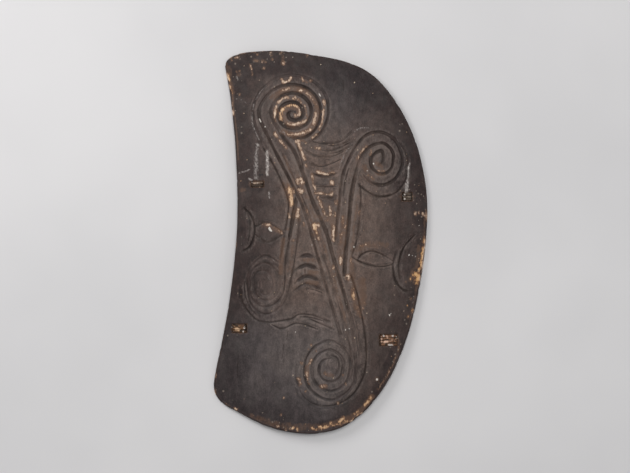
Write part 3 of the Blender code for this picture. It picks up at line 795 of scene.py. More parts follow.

    # Places darker than the rest: a thick crust of soot, and painted shade along the top and right edges,
    # in the lower rungs and in the left spiral's outer grooves.
    soot_crust_and_shade: Marks = marks(
        (0.8, 20, 0, 154, 30, 152), (0.8, 18, 8, 108, 28, 106),
        (0.6, 24, -228, 478, -205, 476, -170, 484), (0.7, 26, -225, 440, -205, 400),
        (0.6, 14, -160, 488, 60, 462),
        (0.7, 36, -190, 452, -140, 468, -20, 462, 60, 440, 110, 405, 160, 372),
        (1, 16, 196, 262, 210, 236, 217, 210, 212, 172, 200, 152),
        (0.6, 18, 84, 225, 66, 190, 60, 150, 60, 110), (0.9, 14, -2, -262, -4, -300, 2, -322),
        (0.6, 24, -150, -322, -120, -360), (0.7, 20, -16, 356, 2, 322), (0.7, 14, -176, 146, -160, 140),
        (0.8, 13, 244, 122, 250, 66), (0.8, 10, -212, 486, -196, 488), (0.6, 12, 0, -474, 40, -466),
        (0.5, 20, 200, 320, 214, 292), (0.9, 12, -140, -184, -134, -190), (0.8, 18, -76, 342, -60, 326),
        (0.3, 26, -218, 340, -210, 290), (1.2, 7, -46, -36, -24, -36),
        (1.4, 7, -52, -66, -35, -62, -16, -66), (1.2, 6, -56, -99, -35, -91, -12, -97),
        (0.9, 5, -58, -120, -38, -112, -10, -119), (0.6, 24, -205, 20, -208, -60),
        (0.6, 8, -196, -115, -193, -150, -174, -178, -152, -190),
        (0.9, 5, 184, -288, 176, -306, 166, -322), (0.7, 4, 277, 50, 275, 10),
        (0.8, 4, 258, -116, 250, -160, 240, -205), (0.5, 26, 250, 140, 262, 60),
        (0.8, 24, 222, 296, 238, 262, 248, 225, 256, 180, 262, 140), (0.1, 20, -200, -440, -150, -455),
        (0.5, 20, 150, -390, 190, -310),
    )  # fmt: skip

    # Places where the crust is flaking off in small spots.
    crusty: Marks = marks(
        (0.7, 22, -228, 474, -200, 478, -150, 482, -90, 484), (0.7, 20, -235, 440, -222, 420),
        (0.5, 12, -228, 380, -222, 320), (0.95, 20, 256, 142, 260, 100, 264, 66),
        (0.6, 12, 236, 130, 240, 100), (0.6, 14, 262, 20, 258, -60, 246, -110), (0.5, 20, -212, -225),
        (0.6, 11, 206, -280, 192, -320, 168, -362), (0.6, 24, 178, -252), (0.4, 14, 236, -150, 228, -205),
        (0.5, 16, -160, 165, -140, 200), (0.5, 14, -180, -452, -100, -474), (0.5, 14, 30, -470, 90, -448),
        (0.35, 40, 20, 90), (0.25, 60, -60, 330), (0.25, 50, 60, -120), (0.3, 30, -40, -340),
    )  # fmt: skip

    # Pale grey, polished streaks, most of them above the upper lashings; their glossy shine is painted as
    # a pale highlight, and a few rows at the upper left are painted highlights on the edges of grooves.
    scuffs_and_highlights: Marks = marks(
        (1, 4.5, -165, 254, -162, 252), (0.6, 4, -166, 246, -164, 242),
        (0.75, 4.5, -166, 238, -168, 228), (0.5, 9, -167, 230, -167, 205, -168, 168),
        (1.05, 5.6, -139, 235, -138, 215), (0.85, 6, -138, 210, -138, 186),
        (1, 5.4, -139, 184, -138, 174), (0.75, 3.2, -133, 130, -133, 114),
        (0.75, 3.2, 233, 206, 231, 197), (1.1, 4, 230, 196, 229, 187), (0.75, 3.4, 229, 186, 228, 164),
        (1, 4.4, 226, 160, 228, 155), (0.95, 6.4, 225, 150, 224, 131),
        (0.75, 2.6, -216, 178, -206, 181, -195, 184, -185, 188), (0.7, 3.6, -187, 165, -179, 160),
        (0.75, 2.2, -174, 360, -176, 345),
        (0.55, 2.4, -178, 338, -178, 318, -174, 300, -166, 280, -160, 266),
        (0.5, 2, -168, 372, -156, 392, -142, 404), (0.65, 3.4, -219, 431, -215, 424),
        (0.45, 2, -222, 374, -205, 370, -190, 360), (0.45, 1.8, 243, -140, 240, -165, 237, -195),
        (0.4, 5, -106, 290, -92, 281), (0.55, 2.8, 87, 287, 104, 296, 126, 297),
        (0.45, 2.4, 82, 258, 60, 222, 48, 190),
    )  # fmt: skip

    # Short cracks along the grain.
    cracks: Marks = marks(
        (1, 1, -84, -232, -86, -243, -88, -253), (1, 1.2, -95, -266, -97, -284, -100, -302),
        (1, 0.8, 118, -300, 116, -330), (1, 1, -214, -296, -217, -334, -216, -352),
        (1, 0.8, 60, 420, 61, 396),
    )  # fmt: skip


# How much of a mark's width is fully worn, where the mark has a halo.
CORE_SHARE = 0.68


def mark_field(
    places: np.ndarray, made_marks: Iterable[Mark], halo: float | None = None
) -> np.ndarray:
    """How strongly a set of marks covers each place.

    Args:
        places: the places, in metres on the drawing.
        made_marks: the marks.
        halo: how far a mark fades outside its edge, in metres. Without it, a mark fades
            inside its edge.

    Returns:
        The strongest mark's value at each place: its strength in the middle, half of it at
        the edge where there is a halo, and 0 outside.
    """
    cover = np.zeros(len(places))
    for mark in made_marks:
        line = smooth_curve(mark.points, 0.003)
        edge = mark.half_width * UNIT
        reach = edge + (halo or 0.0)
        near = close_to(places, line, reach)
        if len(near) == 0:
            continue
        distance, _ = nearest(places[near], line)
        if halo is None:
            value = 1.0 - (distance / edge) ** 2
        else:
            core = CORE_SHARE * edge
            within = 1.0 - 0.5 * (distance / core) ** 2
            beyond = 0.5 * (reach - distance) / (reach - core)
            value = np.where(distance < core, within, beyond)
        cover[near] = np.maximum(cover[near], mark.strength * np.clip(value, 0.0, 1.0))
    return cover


# Shader wiring.


class Wiring:
    """Adds nodes to a tree and joins them, so that a finish reads as a recipe."""

    column_width: int = 220
    row_height: int = 190
    rows: int = 8

    def __init__(self, tree: bpy.types.NodeTree) -> None:
        """Starts on a node tree."""
        self.tree = tree

    def plug(self, socket: Socket, value: object) -> None:
        """Joins a socket to another, or sets its value.

        Args:
            socket: the input socket.
            value: an output socket, or a plain value.
        """
        if isinstance(value, Socket):
            self.tree.links.new(value, socket)
        elif socket.type == "RGBA" and len(value) == 3:
            socket.default_value = (*value, 1.0)
        else:
            socket.default_value = value

    def add(self, kind: str, /, **inputs: object) -> bpy.types.Node:
        """Adds a node.

        Args:
            kind: the node's type, without its ShaderNode prefix.
            inputs: its inputs by name, with spaces as underscores.

        Returns:
            The node.
        """
        node = self.tree.nodes.new("ShaderNode" + kind)
        column, row = divmod(len(self.tree.nodes), self.rows)
        node.location = (self.column_width * column, -self.row_height * row)
        for name, value in inputs.items():
            self.plug(node.inputs[name.replace("_", " ")], value)
        return node

    def maths(self, operation: str, *values: object, clamp: bool = False) -> Socket:
        """A Math node.

        Args:
            operation: what it does.
            values: its operands.
            clamp: whether the result is kept from 0 to 1.

        Returns:
            Its output.
        """
        node = self.add("Math")
        node.operation = operation
        node.use_clamp = clamp
        for socket, value in zip(node.inputs, values):
            self.plug(socket, value)
        return node.outputs[0]

    def weigh(self, first: Socket, share: float, second: Socket, other: float) -> Socket:
        """The sum of two values, each times its own share."""
        return self.maths("MULTIPLY_ADD", first, share, self.maths("MULTIPLY", second, other))

    def mix(self, share: object, first: object, second: object, blend: str = "MIX") -> Socket:
        """A colour mix.

        Args:
            share: how much of the second colour shows.
            first: the colour at 0.
            second: the colour at 1.
            blend: how the two are blended.

        Returns:
            The mixed colour.
        """
        node = self.add("Mix")
        node.data_type = "RGBA"
        node.blend_type = blend
        node.clamp_factor = True
        for index, value in ((0, share), (6, first), (7, second)):
            self.plug(node.inputs[index], value)
        return node.outputs[2]

    def shaded(self, colour: Socket, shade: Socket) -> Socket:
        """A colour times a grey shade."""
        grey = self.add("CombineXYZ", X=shade, Y=shade, Z=shade)
        return self.mix(1.0, colour, grey.outputs[0], "MULTIPLY")

    def between(self, *numbers: object) -> Socket:
        """Maps a value smoothly from one range to another.

        Args:
            numbers: the value, the low and high ends of its range, and then those of the
                result, which are 0 and 1 where they aren't given.

        Returns:
            The mapped value.
        """
        node = self.add("MapRange")
        node.interpolation_type = "SMOOTHSTEP"
        for socket, number in zip(node.inputs, numbers):
            self.plug(socket, number)
        return node.outputs[0]

    def noise(
        self,
        place: Socket,
        scale: object,
        detail: float = 2.0,
        roughness: float = 0.5,
        stretch: Colour | None = None,
    ) -> Socket:
        """Smooth noise.

        Args:
            place: where it is read.
            scale: how many bumps there are to a unit.
            detail: how many finer layers are added.
            roughness: how strong those are.
            stretch: what the place is multiplied by before it is read.

        Returns:
            Values around a half.
        """
        if stretch is not None:
            place = self.vector("MULTIPLY", place, stretch)
        node = self.add("TexNoise", Vector=place, Scale=scale, Detail=detail, Roughness=roughness)
        return node.outputs[0]

    def vector(self, operation: str, first: object, second: object) -> Socket:
        """A Vector Math node on two vectors.

        Args:
            operation: what it does.
            first: its first operand.
            second: its second one.

        Returns:
            Its output.
        """
        node = self.add("VectorMath")
        node.operation = operation
        self.plug(node.inputs[0], first)
        self.plug(node.inputs[1], second)
        return node.outputs[0]


class GroupWiring(Wiring):
    """The wiring of a node group, from its given sockets to its results."""

    def __init__(self, name: str, inputs: dict[str, object], outputs: Sequence[str]) -> None:
        """Starts a group.

        Args:
            name: the group's name.
            inputs: its inputs with their defaults: a number, a vector or a colour.
            outputs: its outputs; the names that end in "colour" are colours.
        """
        super().__init__(bpy.data.node_groups.new(name, "ShaderNodeTree"))
        kinds = {1: "NodeSocketFloat", 3: "NodeSocketVector", 4: "NodeSocketColor"}
        face = self.tree.interface
        for title, value in inputs.items():
            kind = kinds[1 if isinstance(value, float) else len(value)]
            face.new_socket(title, in_out="INPUT", socket_type=kind).default_value = value
        for title in outputs:
            kind = kinds[4 if title.endswith("colour") else 1]
            face.new_socket(title, in_out="OUTPUT", socket_type=kind)
        self.given = self.tree.nodes.new("NodeGroupInput").outputs
        self.results = self.tree.nodes.new("NodeGroupOutput").inputs

    def give(self, *values: Socket) -> bpy.types.NodeTree:
        """Joins the group's results.

        Args:
            values: what each output puts out, in their order.

        Returns:
            The finished group.
        """
        for socket, value in zip(self.results, values):
            self.plug(socket, value)
        return self.tree


class Effects:
    """The effects that more than one finish uses, each a node group built once."""

    origin: Colour = (0.0, 0.0, 0.0)

    def __init__(self) -> None:
        """Builds the groups."""
        self.grain = self.make_grain()
        self.ragged = self.make_ragged()
        self.flecks = self.make_flecks()
        self.dust = self.make_dust()

    def make_grain(self) -> bpy.types.NodeTree:
        """Long fibres that run along Y.

        Returns:
            The group, which puts out their shade and their height.
        """
        group = GroupWiring(
            "long_grain",
            {"Vector": self.origin, "Fineness": 900.0, "Stretch": 18.0},
            ("Shade", "Height"),
        )
        vector, fineness = group.given["Vector"], group.given["Fineness"]
        sway = group.maths("MULTIPLY", group.noise(vector, 9.0), 0.012)
        stretch = group.add("CombineXYZ", X=1.0, Y=group.given["Stretch"], Z=1.0)
        slow = group.vector("DIVIDE", vector, stretch.outputs[0])
        bent = group.vector("ADD", slow, group.add("CombineXYZ", X=sway).outputs[0])
        fibres = group.noise(bent, fineness, 5.0, 0.6)
        bands = group.noise(bent, group.maths("MULTIPLY", fineness, 0.12), 3.0)
        return group.give(group.weigh(bands, 0.6, fibres, 0.4), fibres)

    def make_ragged(self) -> bpy.types.NodeTree:
        """Turns a soft cover into a patch with a torn edge.

        Returns:
            The group, which puts out the patch and the level that it is cut from.
        """
        group = GroupWiring(
            "ragged_patch",
            {"Vector": self.origin, "Cover": 0.0, "Size": 350.0, "Tear": 0.9, "Edge": 0.12},
            ("Mask", "Level"),
        )
        given = group.given
        torn = group.noise(given["Vector"], given["Size"], 4.0, 0.68, (1.0, 0.5, 1.0))
        torn = group.maths("SUBTRACT", torn, 0.5)
        torn = group.maths("MULTIPLY", torn, group.between(given["Cover"], 0.0, 0.3))
        level = group.maths("MULTIPLY_ADD", torn, given["Tear"], given["Cover"])
        low = group.maths("SUBTRACT", 0.5, given["Edge"])
        high = group.maths("ADD", 0.5, given["Edge"])
        return group.give(group.between(level, low, high), level)

    def make_flecks(self) -> bpy.types.NodeTree:
        """Scattered small spots.

        Returns:
            The group, which puts out where they are and a random tint for each.
        """
        group = GroupWiring(
            "scattered_flecks",
            {"Vector": self.origin, "Crowd": 0.1, "Cells": 130.0, "Size": 0.22},
            ("Mask", "Tint"),
        )
        given = group.given
        wobble = group.maths("MULTIPLY_ADD", group.noise(given["Vector"], 700.0), 0.004, -0.002)
        away = group.add("CombineXYZ", X=wobble, Y=wobble).outputs[0]
        moved = group.vector("ADD", given["Vector"], away)
        cells = group.add("TexVoronoi", Vector=moved, Scale=given["Cells"]).outputs
        draw = group.add("SeparateColor", Color=cells["Color"]).outputs
        chosen = group.maths("LESS_THAN", draw[0], given["Crowd"])
        reach = group.maths("MULTIPLY_ADD", draw[1], 1.2, 0.4)
        reach = group.maths("MULTIPLY", reach, given["Size"])
        spot = group.maths("DIVIDE", cells["Distance"], reach)
        return group.give(group.maths("MULTIPLY", group.between(spot, 1.0, 0.6), chosen), draw[2])

    def make_dust(self) -> bpy.types.NodeTree:
        """A thin film of dust, thicker where the noise is.

        Returns:
            The group, which puts out the dusty colour.
        """
        base, dust = (0.5, 0.5, 0.5, 1.0), (0.33, 0.30, 0.27, 1.0)
        group = GroupWiring(
            "dust_film",
            {"Vector": self.origin, "Base": base, "Dust": dust, "Amount": 0.1},
            ("Dusty colour",),
        )
        given = group.given
        clouds = group.between(group.noise(given["Vector"], 26.0, 5.0, 0.6), 0.35, 0.75)
        share = group.maths("MULTIPLY", clouds, given["Amount"])
        return group.give(group.mix(share, given["Base"], given["Dust"]))


class Recipe(Wiring):
    """A material's wiring, whose noise and effects are read at the object's own places."""

    def __init__(self, name: str, effects: Effects | None = None) -> None:
        """Starts a material.

        Args:
            name: its name.
            effects: the shared node groups.
        """
        self.material = bpy.data.materials.new(name)
        self.material.use_nodes = True
        super().__init__(self.material.node_tree)
        self.shader = self.tree.nodes["Principled BSDF"]
        self.effects = effects
        self.place = self.add("TexCoord").outputs["Object"]

    def cloud(self, *numbers: float, stretch: Colour | None = None) -> Socket:
        """Noise at the object's own places: its scale, detail and roughness."""
        return self.noise(self.place, *numbers, stretch=stretch)

    def painted(self, name: str) -> Socket:
        """The mesh's own values of that name.

        Args:
            name: what the values are called.

        Returns:
            The values.
        """
        node = self.add("Attribute")
        node.attribute_name = name
        return node.outputs["Fac"]

    def effect(self, tree: bpy.types.NodeTree, **inputs: object) -> Sequence[Socket]:
        """Places a shared effect.

        Args:
            tree: its node group.
            inputs: the group's inputs by name, apart from Vector.

        Returns:
            The group's outputs.
        """
        node = self.add("Group")
        node.node_tree = tree
        for name, value in {"Vector": self.place, **inputs}.items():
            self.plug(node.inputs[name], value)
        return node.outputs

    def torn(self, name: str | Socket, size: float, tear: float, edge: float) -> Sequence[Socket]:
        """Places a ragged patch.

        Args:
            name: the painted values that it covers, or such values themselves.
            size: how fine its torn edge is.
            tear: how deep the edge is torn.
            edge: how soft it is.

        Returns:
            The patch and its level.
        """
        cover = self.painted(name) if isinstance(name, str) else name
        return self.effect(self.effects.ragged, Cover=cover, Size=size, Tear=tear, Edge=edge)

    def finish(
        self, colour: Socket, roughness: Socket, height: Socket, strength: float, distance: float
    ) -> bpy.types.Material:
        """Joins the finish to the shader.

        Args:
            colour: the colour.
            roughness: how matt it is.
            height: the height of its finest relief.
            strength: how strongly that shows.
            distance: how high it is, in metres.

        Returns:
            The material.
        """
        bump = self.add("Bump", Strength=strength, Distance=distance, Height=height)
        for name, value in (
            ("Base Color", colour),
            ("Roughness", roughness),
            ("Normal", bump.outputs["Normal"]),
        ):
            self.plug(self.shader.inputs[name], value)
        return self.material


# Finishes.


@dataclass(frozen=True)
class SootedWood:
    """Blackened wood: soot and old paint in the grooves, with painted shade there, bare wood where it is
    rubbed, and painted sheen and highlights on the face and its ridges.
    """

    dark_soot: Colour = (0.0235, 0.0132, 0.0118)
    soot: Colour = (0.063, 0.0425, 0.0360)
    brown_soot: Colour = (0.098, 0.0650, 0.0515)
    cool: Colour = (0.88, 1.04, 1.20)
    groove: Colour = (0.018, 0.0125, 0.0095)
    rubbed_and_sheen: Colour = (0.175, 0.138, 0.120)
    stained: Colour = (0.125, 0.067, 0.041)
    bare_dark: Colour = (0.25, 0.150, 0.100)
    bare: Colour = (0.44, 0.31, 0.225)
    bare_light: Colour = (0.71, 0.555, 0.425)
    honey_dark: Colour = (0.22, 0.105, 0.046)
    honey: Colour = (0.50, 0.275, 0.118)
    honey_light: Colour = (0.66, 0.42, 0.205)
    crust_dark: Colour = (0.012, 0.010, 0.010)
    crust_light: Colour = (0.22, 0.175, 0.140)
    fleck_dark: Colour = (0.23, 0.135, 0.075)
    fleck_light: Colour = (0.52, 0.41, 0.30)
    scuff_and_highlight: Colour = (0.270, 0.236, 0.218)
    pale_highlight_and_lime: Colour = (0.66, 0.60, 0.54)
    back_dark: Colour = (0.085, 0.055, 0.035)
    back_light: Colour = (0.19, 0.125, 0.080)
    dust: float = 0.05
    bump_strength: float = 0.7
    bump_height: float = 0.0012

    def make(self, effects: Effects) -> bpy.types.Material:
        """Builds the material.

        Args:
            effects: the shared node groups.

        Returns:
            The material.
        """
        recipe = Recipe("sooted_wood", effects)
        shade, fibres = recipe.effect(effects.grain, Fineness=620.0, Stretch=16.0)
        colour = self.rub_and_highlight(recipe, self.paint(recipe, shade))
        colour, bare = self.chip(recipe, colour)
        colour = self.mark(recipe, colour)
        smoke = recipe.between(recipe.weigh(shade, 0.55, recipe.cloud(7.0, 4.0, 0.6), 0.45), 0.36, 0.62)
        back = recipe.mix(smoke, self.back_dark, self.back_light)
        colour = recipe.mix(recipe.painted("back"), colour, back)
        colour = recipe.effect(effects.dust, Base=colour, Amount=self.dust)[0]
        height = recipe.weigh(fibres, 0.7, recipe.cloud(420.0, 4.0, 0.65), 0.7)
        height = recipe.maths("MULTIPLY_ADD", bare, -0.45, height)
        recipe.shader.inputs["IOR"].default_value = 1.36
        recipe.shader.inputs["Specular IOR Level"].default_value = 0.34
        return recipe.finish(
            colour, self.roughness(recipe, bare), height, self.bump_strength, self.bump_height
        )

    def paint(self, recipe: Recipe, shade: Socket) -> Socket:
        """The soot, with painted sheen and shade: browner and lighter in the middle, from handling and as
        painted sheen; darkest near the rim and in grooves, partly as painted shade.

        Args:
            recipe: the material being made.
            shade: the grain's shade.

        Returns:
            The colour.
        """
        broad = recipe.cloud(7.0, 3.0, 0.55)
        streaks = recipe.cloud(1.0, 4.0, 0.6, stretch=(46.0, 9.0, 1.0))
        cloud = recipe.weigh(streaks, 0.35, broad, 0.55)
        cloud = recipe.maths("MULTIPLY_ADD", cloud, 0.9, -0.40)
        # Painted sheen and shade with the handling: dark soot at the rim, brown soot in the middle.
        handled_and_sheen = recipe.maths("ADD", recipe.painted("handled_and_sheen"), cloud)
        # The soot crust and painted shade marks darken the colour further.
        handled_and_sheen = recipe.maths("MULTIPLY_ADD", recipe.painted("soot_crust_and_shade"), -0.6, handled_and_sheen)
        base = recipe.mix(recipe.between(handled_and_sheen, -0.20, 0.60), self.dark_soot, self.soot)
        base = recipe.mix(recipe.between(handled_and_sheen, 0.35, 1.20), base, self.brown_soot)
        mottle = recipe.cloud(75.0, 5.0, 0.72, stretch=(1.0, 0.6, 1.0))
        base = recipe.shaded(base, recipe.between(mottle, 0.25, 0.75, 0.66, 1.37))
        fine = recipe.cloud(330.0, 3.0, 0.7, stretch=(1.0, 0.7, 1.0))
        base = recipe.shaded(base, recipe.between(fine, 0.25, 0.75, 0.76, 1.26))
        base = recipe.shaded(base, recipe.between(shade, 0.3, 0.7, 0.88, 1.12))
        cooler = recipe.mix(1.0, base, self.cool, "MULTIPLY")
        base = recipe.mix(recipe.painted("cool"), base, cooler)
        # Soot and old paint darken the grooves by their depth, partly as painted shade, and a broken dark
        # line follows their bottoms.
        depth = recipe.between(recipe.painted("carving"), 0.06, 0.95)
        base = recipe.mix(recipe.maths("MULTIPLY", depth, 0.50), base, self.groove)
        broken = recipe.between(recipe.cloud(90.0, 3.0, 0.6), 0.35, 0.60, 0.30, 0.70)
        line = recipe.between(recipe.painted("core"), 0.20, 0.95)
        return recipe.mix(recipe.maths("MULTIPLY", line, broken), base, self.groove)

    def rub_and_highlight(self, recipe: Recipe, colour: Socket) -> Socket:
        """Lighter ridges, from rubbing and as a painted highlight on their crests, and stains where brown
        wood shows through the thin soot.

        Args:
            recipe: the material being made.
            colour: its colour so far.

        Returns:
            The colour with them.
        """
        colour = recipe.shaded(colour, recipe.between(recipe.painted("streak"), 0.25, 0.75, 0.72, 1.30))
        # Painted highlight in part: the crests of the ridges are lightened towards a pale grey.
        cover = recipe.maths("MULTIPLY_ADD", recipe.painted("streak"), 0.5, recipe.painted("crest"))
        cover = recipe.maths("SUBTRACT", cover, 0.25)
        share = recipe.maths("MULTIPLY", recipe.torn(cover, 210.0, 2.2, 0.45)["Mask"], 0.42)
        colour = recipe.mix(share, colour, self.rubbed_and_sheen)
        share = recipe.maths("MULTIPLY", recipe.torn("thinned", 130.0, 1.7, 0.30)["Mask"], 0.55)
        return recipe.mix(share, colour, self.stained)

    def chip(self, recipe: Recipe, colour: Socket) -> tuple[Socket, Socket]:
        """Bare wood, pale in the middle of a patch and reddish where its edge is rubbed.

        Args:
            recipe: the material being made.
            colour: its colour so far.

        Returns:
            The colour with it, and where the wood is bare.
        """
        mask, level = recipe.torn("bare", 240.0, 2.7, 0.16)
        fresh = recipe.cloud(1.0, 3.0, 0.6, stretch=(230.0, 120.0, 90.0))
        tone = recipe.weigh(fresh, 0.65, level, 0.62)
        honey = recipe.painted("honey")
        dark = recipe.mix(honey, self.bare_dark, self.honey_dark)
        plain = recipe.mix(honey, self.bare, self.honey)
        light = recipe.mix(honey, self.bare_light, self.honey_light)
        wood = recipe.mix(recipe.between(tone, 0.58, 0.86), dark, plain)
        wood = recipe.mix(recipe.between(tone, 0.86, 1.17), wood, light)
        colour = recipe.mix(recipe.between(level, 0.02, 0.38, 0.0, 0.85), colour, self.stained)
        return recipe.mix(mask, colour, wood), mask

    def mark(self, recipe: Recipe, colour: Socket) -> Socket:
        """Flecks where the crust has jumped off, the grey scuffs with their painted highlights, and the
        lime specks.

        Args:
            recipe: the material being made.
            colour: its colour so far.

        Returns:
            The colour with them.
        """
        tree = recipe.effects.flecks
        mask, tint = recipe.effect(tree, Crowd=recipe.painted("flecks"), Cells=125.0, Size=0.15)
        colour = recipe.mix(mask, colour, recipe.mix(tint, self.fleck_dark, self.fleck_light))
        mask, tint = recipe.effect(tree, Crowd=recipe.painted("crust"), Cells=165.0, Size=0.36)
        tint = recipe.mix(recipe.between(tint, 0.35, 0.75), self.crust_dark, self.crust_light)
        colour = recipe.mix(recipe.maths("MULTIPLY", mask, 0.75), colour, tint)
        # Scuffs with a painted highlight: grey, and pale in their cores.
        mask, level = recipe.torn("scuff_and_highlight", 260.0, 2.2, 0.30)
        colour = recipe.mix(recipe.maths("MULTIPLY", mask, 0.8), colour, self.scuff_and_highlight)
        colour = recipe.mix(recipe.between(level, 0.84, 1.30), colour, self.pale_highlight_and_lime)
        speck = recipe.between(recipe.painted("speck"), 0.35, 0.65, 0.0, 0.85)
        return recipe.mix(speck, colour, self.pale_highlight_and_lime)

    def roughness(self, recipe: Recipe, bare: Socket) -> Socket:
        """Matt soot, a little smoother on polished ridges and in scuffs.

        Args:
            recipe: the material being made.
            bare: where the wood is bare.

        Returns:
            The roughness.
        """
        deep = recipe.between(recipe.painted("carving"), 0.1, 0.8)
        rough = recipe.between(recipe.cloud(60.0, 4.0, 0.65), 0.3, 0.7, 0.44, 0.60)
        for cover, change in ((deep, 0.14), (recipe.painted("scuff_and_highlight"), -0.24), (bare, 0.06)):
            rough = recipe.maths("MULTIPLY_ADD", cover, change, rough)
        return recipe.maths("MULTIPLY_ADD", recipe.painted("back"), 0.1, rough, clamp=True)


@dataclass(frozen=True)
class AgedCane:
    """Split rattan, brown and cracked with age, glossy on its outer skin, with painted shade on its
    underside and painted highlights on its crown.
    """

    name: str
    dark: Colour
    light: Colour
    skin: Colour
    tar_and_hole_shade: Colour = (0.026, 0.014, 0.007)
    lime: Colour = (0.50, 0.44, 0.40)
    dust: float = 0.05
    bump_strength: float = 0.8
    bump_height: float = 0.0007

    def make(self, effects: Effects) -> bpy.types.Material:
        """Builds the material.

        Args:
            effects: the shared node groups.

        Returns:
            The material.
        """
        recipe = Recipe(self.name, effects)
        fibres = recipe.cloud(1.0, 4.0, 0.6, stretch=(90.0, 1900.0, 500.0))
        patches = recipe.cloud(210.0, 4.0, 0.65)
        mixed = recipe.between(recipe.weigh(fibres, 0.5, patches, 0.5), 0.38, 0.62)
        colour = recipe.mix(mixed, self.dark, self.light)
        # Pale worn skin on the crowns, partly a painted highlight of the glossy cane.
        worn = recipe.torn("worn", 300.0, 1.6, 0.35)["Mask"]
        colour = recipe.mix(worn, colour, self.skin)
        # Dark tar, and painted shade where the strands dive into the holes; pale lime.
        for name, spread in (("tarred_and_hole_shade", self.tar_and_hole_shade), ("limed", self.lime)):
            colour = recipe.mix(recipe.torn(name, 420.0, 1.3, 0.20)["Mask"], colour, spread)
        # Painted shade: each strand is darkened on its underside, where it dives into the holes and on
        # its back run.
        low = recipe.between(recipe.painted("crown"), 0.1, 0.6, 0.45, 1.0)
        colour = recipe.shaded(colour, low)
        colour = recipe.effect(effects.dust, Base=colour, Amount=self.dust)[0]
        rough = recipe.between(worn, 0.0, 1.0, 0.72, 0.55)
        height = recipe.maths("MULTIPLY_ADD", patches, 0.8, fibres)
        recipe.shader.inputs["IOR"].default_value = 1.38
        return recipe.finish(colour, rough, height, self.bump_strength, self.bump_height)


@dataclass(frozen=True)
class StudioPaper:
    """A plain pale grey ground."""

    colour: Colour = (0.66, 0.645, 0.645)
    shade: Colour = (0.60, 0.588, 0.59)

    def make(self) -> bpy.types.Material:
        """Builds the material.

        Returns:
            The material.
        """
        recipe = Recipe("studio_paper")
        clouds = recipe.between(recipe.cloud(1.3, 3.0), 0.3, 0.7)
        tooth = recipe.cloud(420.0, 3.0, 0.6)
        colour = recipe.mix(clouds, self.shade, self.colour)
        rough = recipe.between(tooth, 0.2, 0.8, 0.82, 0.92)
        return recipe.finish(colour, rough, tooth, 0.15, 0.0004)


# The shield.


@dataclass(frozen=True)
class Lashing:
    """Where one cane binding goes, and where its strands are worn pale, partly as a painted highlight,
    darkened with tar and with painted shade by the holes, or limed.

    The rows of marks are as in Wear.
    """

    name: str
    centre: Point
    span: float
    strands: int
    worn: tuple[tuple[float, ...], ...] = ()
    tarred_and_hole_shade: tuple[tuple[float, ...], ...] = ()
    limed: tuple[tuple[float, ...], ...] = ()


LASHINGS = (
    Lashing(
        "lashing_upper_left", (-164, 150), 29, 2,
        worn=((0.8, 3.2, -172, 152, -168, 152), (0.75, 2.8, -164, 153, -159, 154),
              (0.35, 3.0, -155, 154, -150, 155)),
        tarred_and_hole_shade=((1.2, 4.0, -181, 148), (0.9, 3.4, -176, 145, -160, 147, -147, 149)),
        limed=((1.0, 3.0, -178, 157), (0.5, 2.4, -163, 153)),
    ),
    Lashing(
        "lashing_upper_right", (226, 118), 23, 3,
        worn=((0.6, 4.0, 213, 118, 216, 113), (0.7, 3.0, 227, 118, 234, 117),
              (0.5, 3.0, 226, 124, 230, 124)),
        tarred_and_hole_shade=((1.2, 4.0, 237, 128, 238, 110), (0.8, 3.0, 216, 107, 234, 108),
                (0.6, 3.0, 221, 121, 233, 121)),
        limed=((1.0, 2.8, 218, 123), (1.0, 2.6, 218, 113)),
    ),
    Lashing(
        "lashing_lower_left", (-211, -225), 35, 3,
        worn=((1.1, 4.8, -219, -226, -211, -228), (0.35, 3.4, -228, -221, -224, -220),
              (0.3, 3.0, -212, -219, -206, -221)),
        tarred_and_hole_shade=((1.1, 4.2, -222, -215, -216, -216), (1.0, 4.0, -207, -231, -203, -230),
                (1.0, 4.0, -195, -228), (0.9, 4.0, -195, -217), (0.6, 4.0, -228, -233, -215, -236)),
        limed=((1.1, 3.0, -197, -223), (0.8, 2.8, -200, -233), (0.7, 2.4, -229, -221)),
    ),
    Lashing(
        "lashing_lower_right", (177, -256), 43, 4,
        worn=((0.7, 3.0, 157, -248, 158, -260), (0.7, 3.0, 171, -244, 173, -249),
              (1.2, 4.2, 166, -260, 173, -259), (0.5, 3.0, 180, -258, 187, -255),
              (0.5, 3.0, 192, -258, 196, -252)),
        tarred_and_hole_shade=((1.2, 4.0, 170, -268), (0.8, 3.0, 155, -266), (1.1, 3.4, 191, -263),
                (0.9, 3.0, 192, -251), (0.7, 3.0, 163, -255, 176, -254),
                (0.6, 3.4, 178, -263, 186, -263)),
        limed=((1.2, 3.0, 163, -243), (0.9, 3.6, 187, -244), (1.0, 3.0, 198, -249),
               (0.9, 3.4, 177, -268, 186, -269)),
    ),
)  # fmt: skip


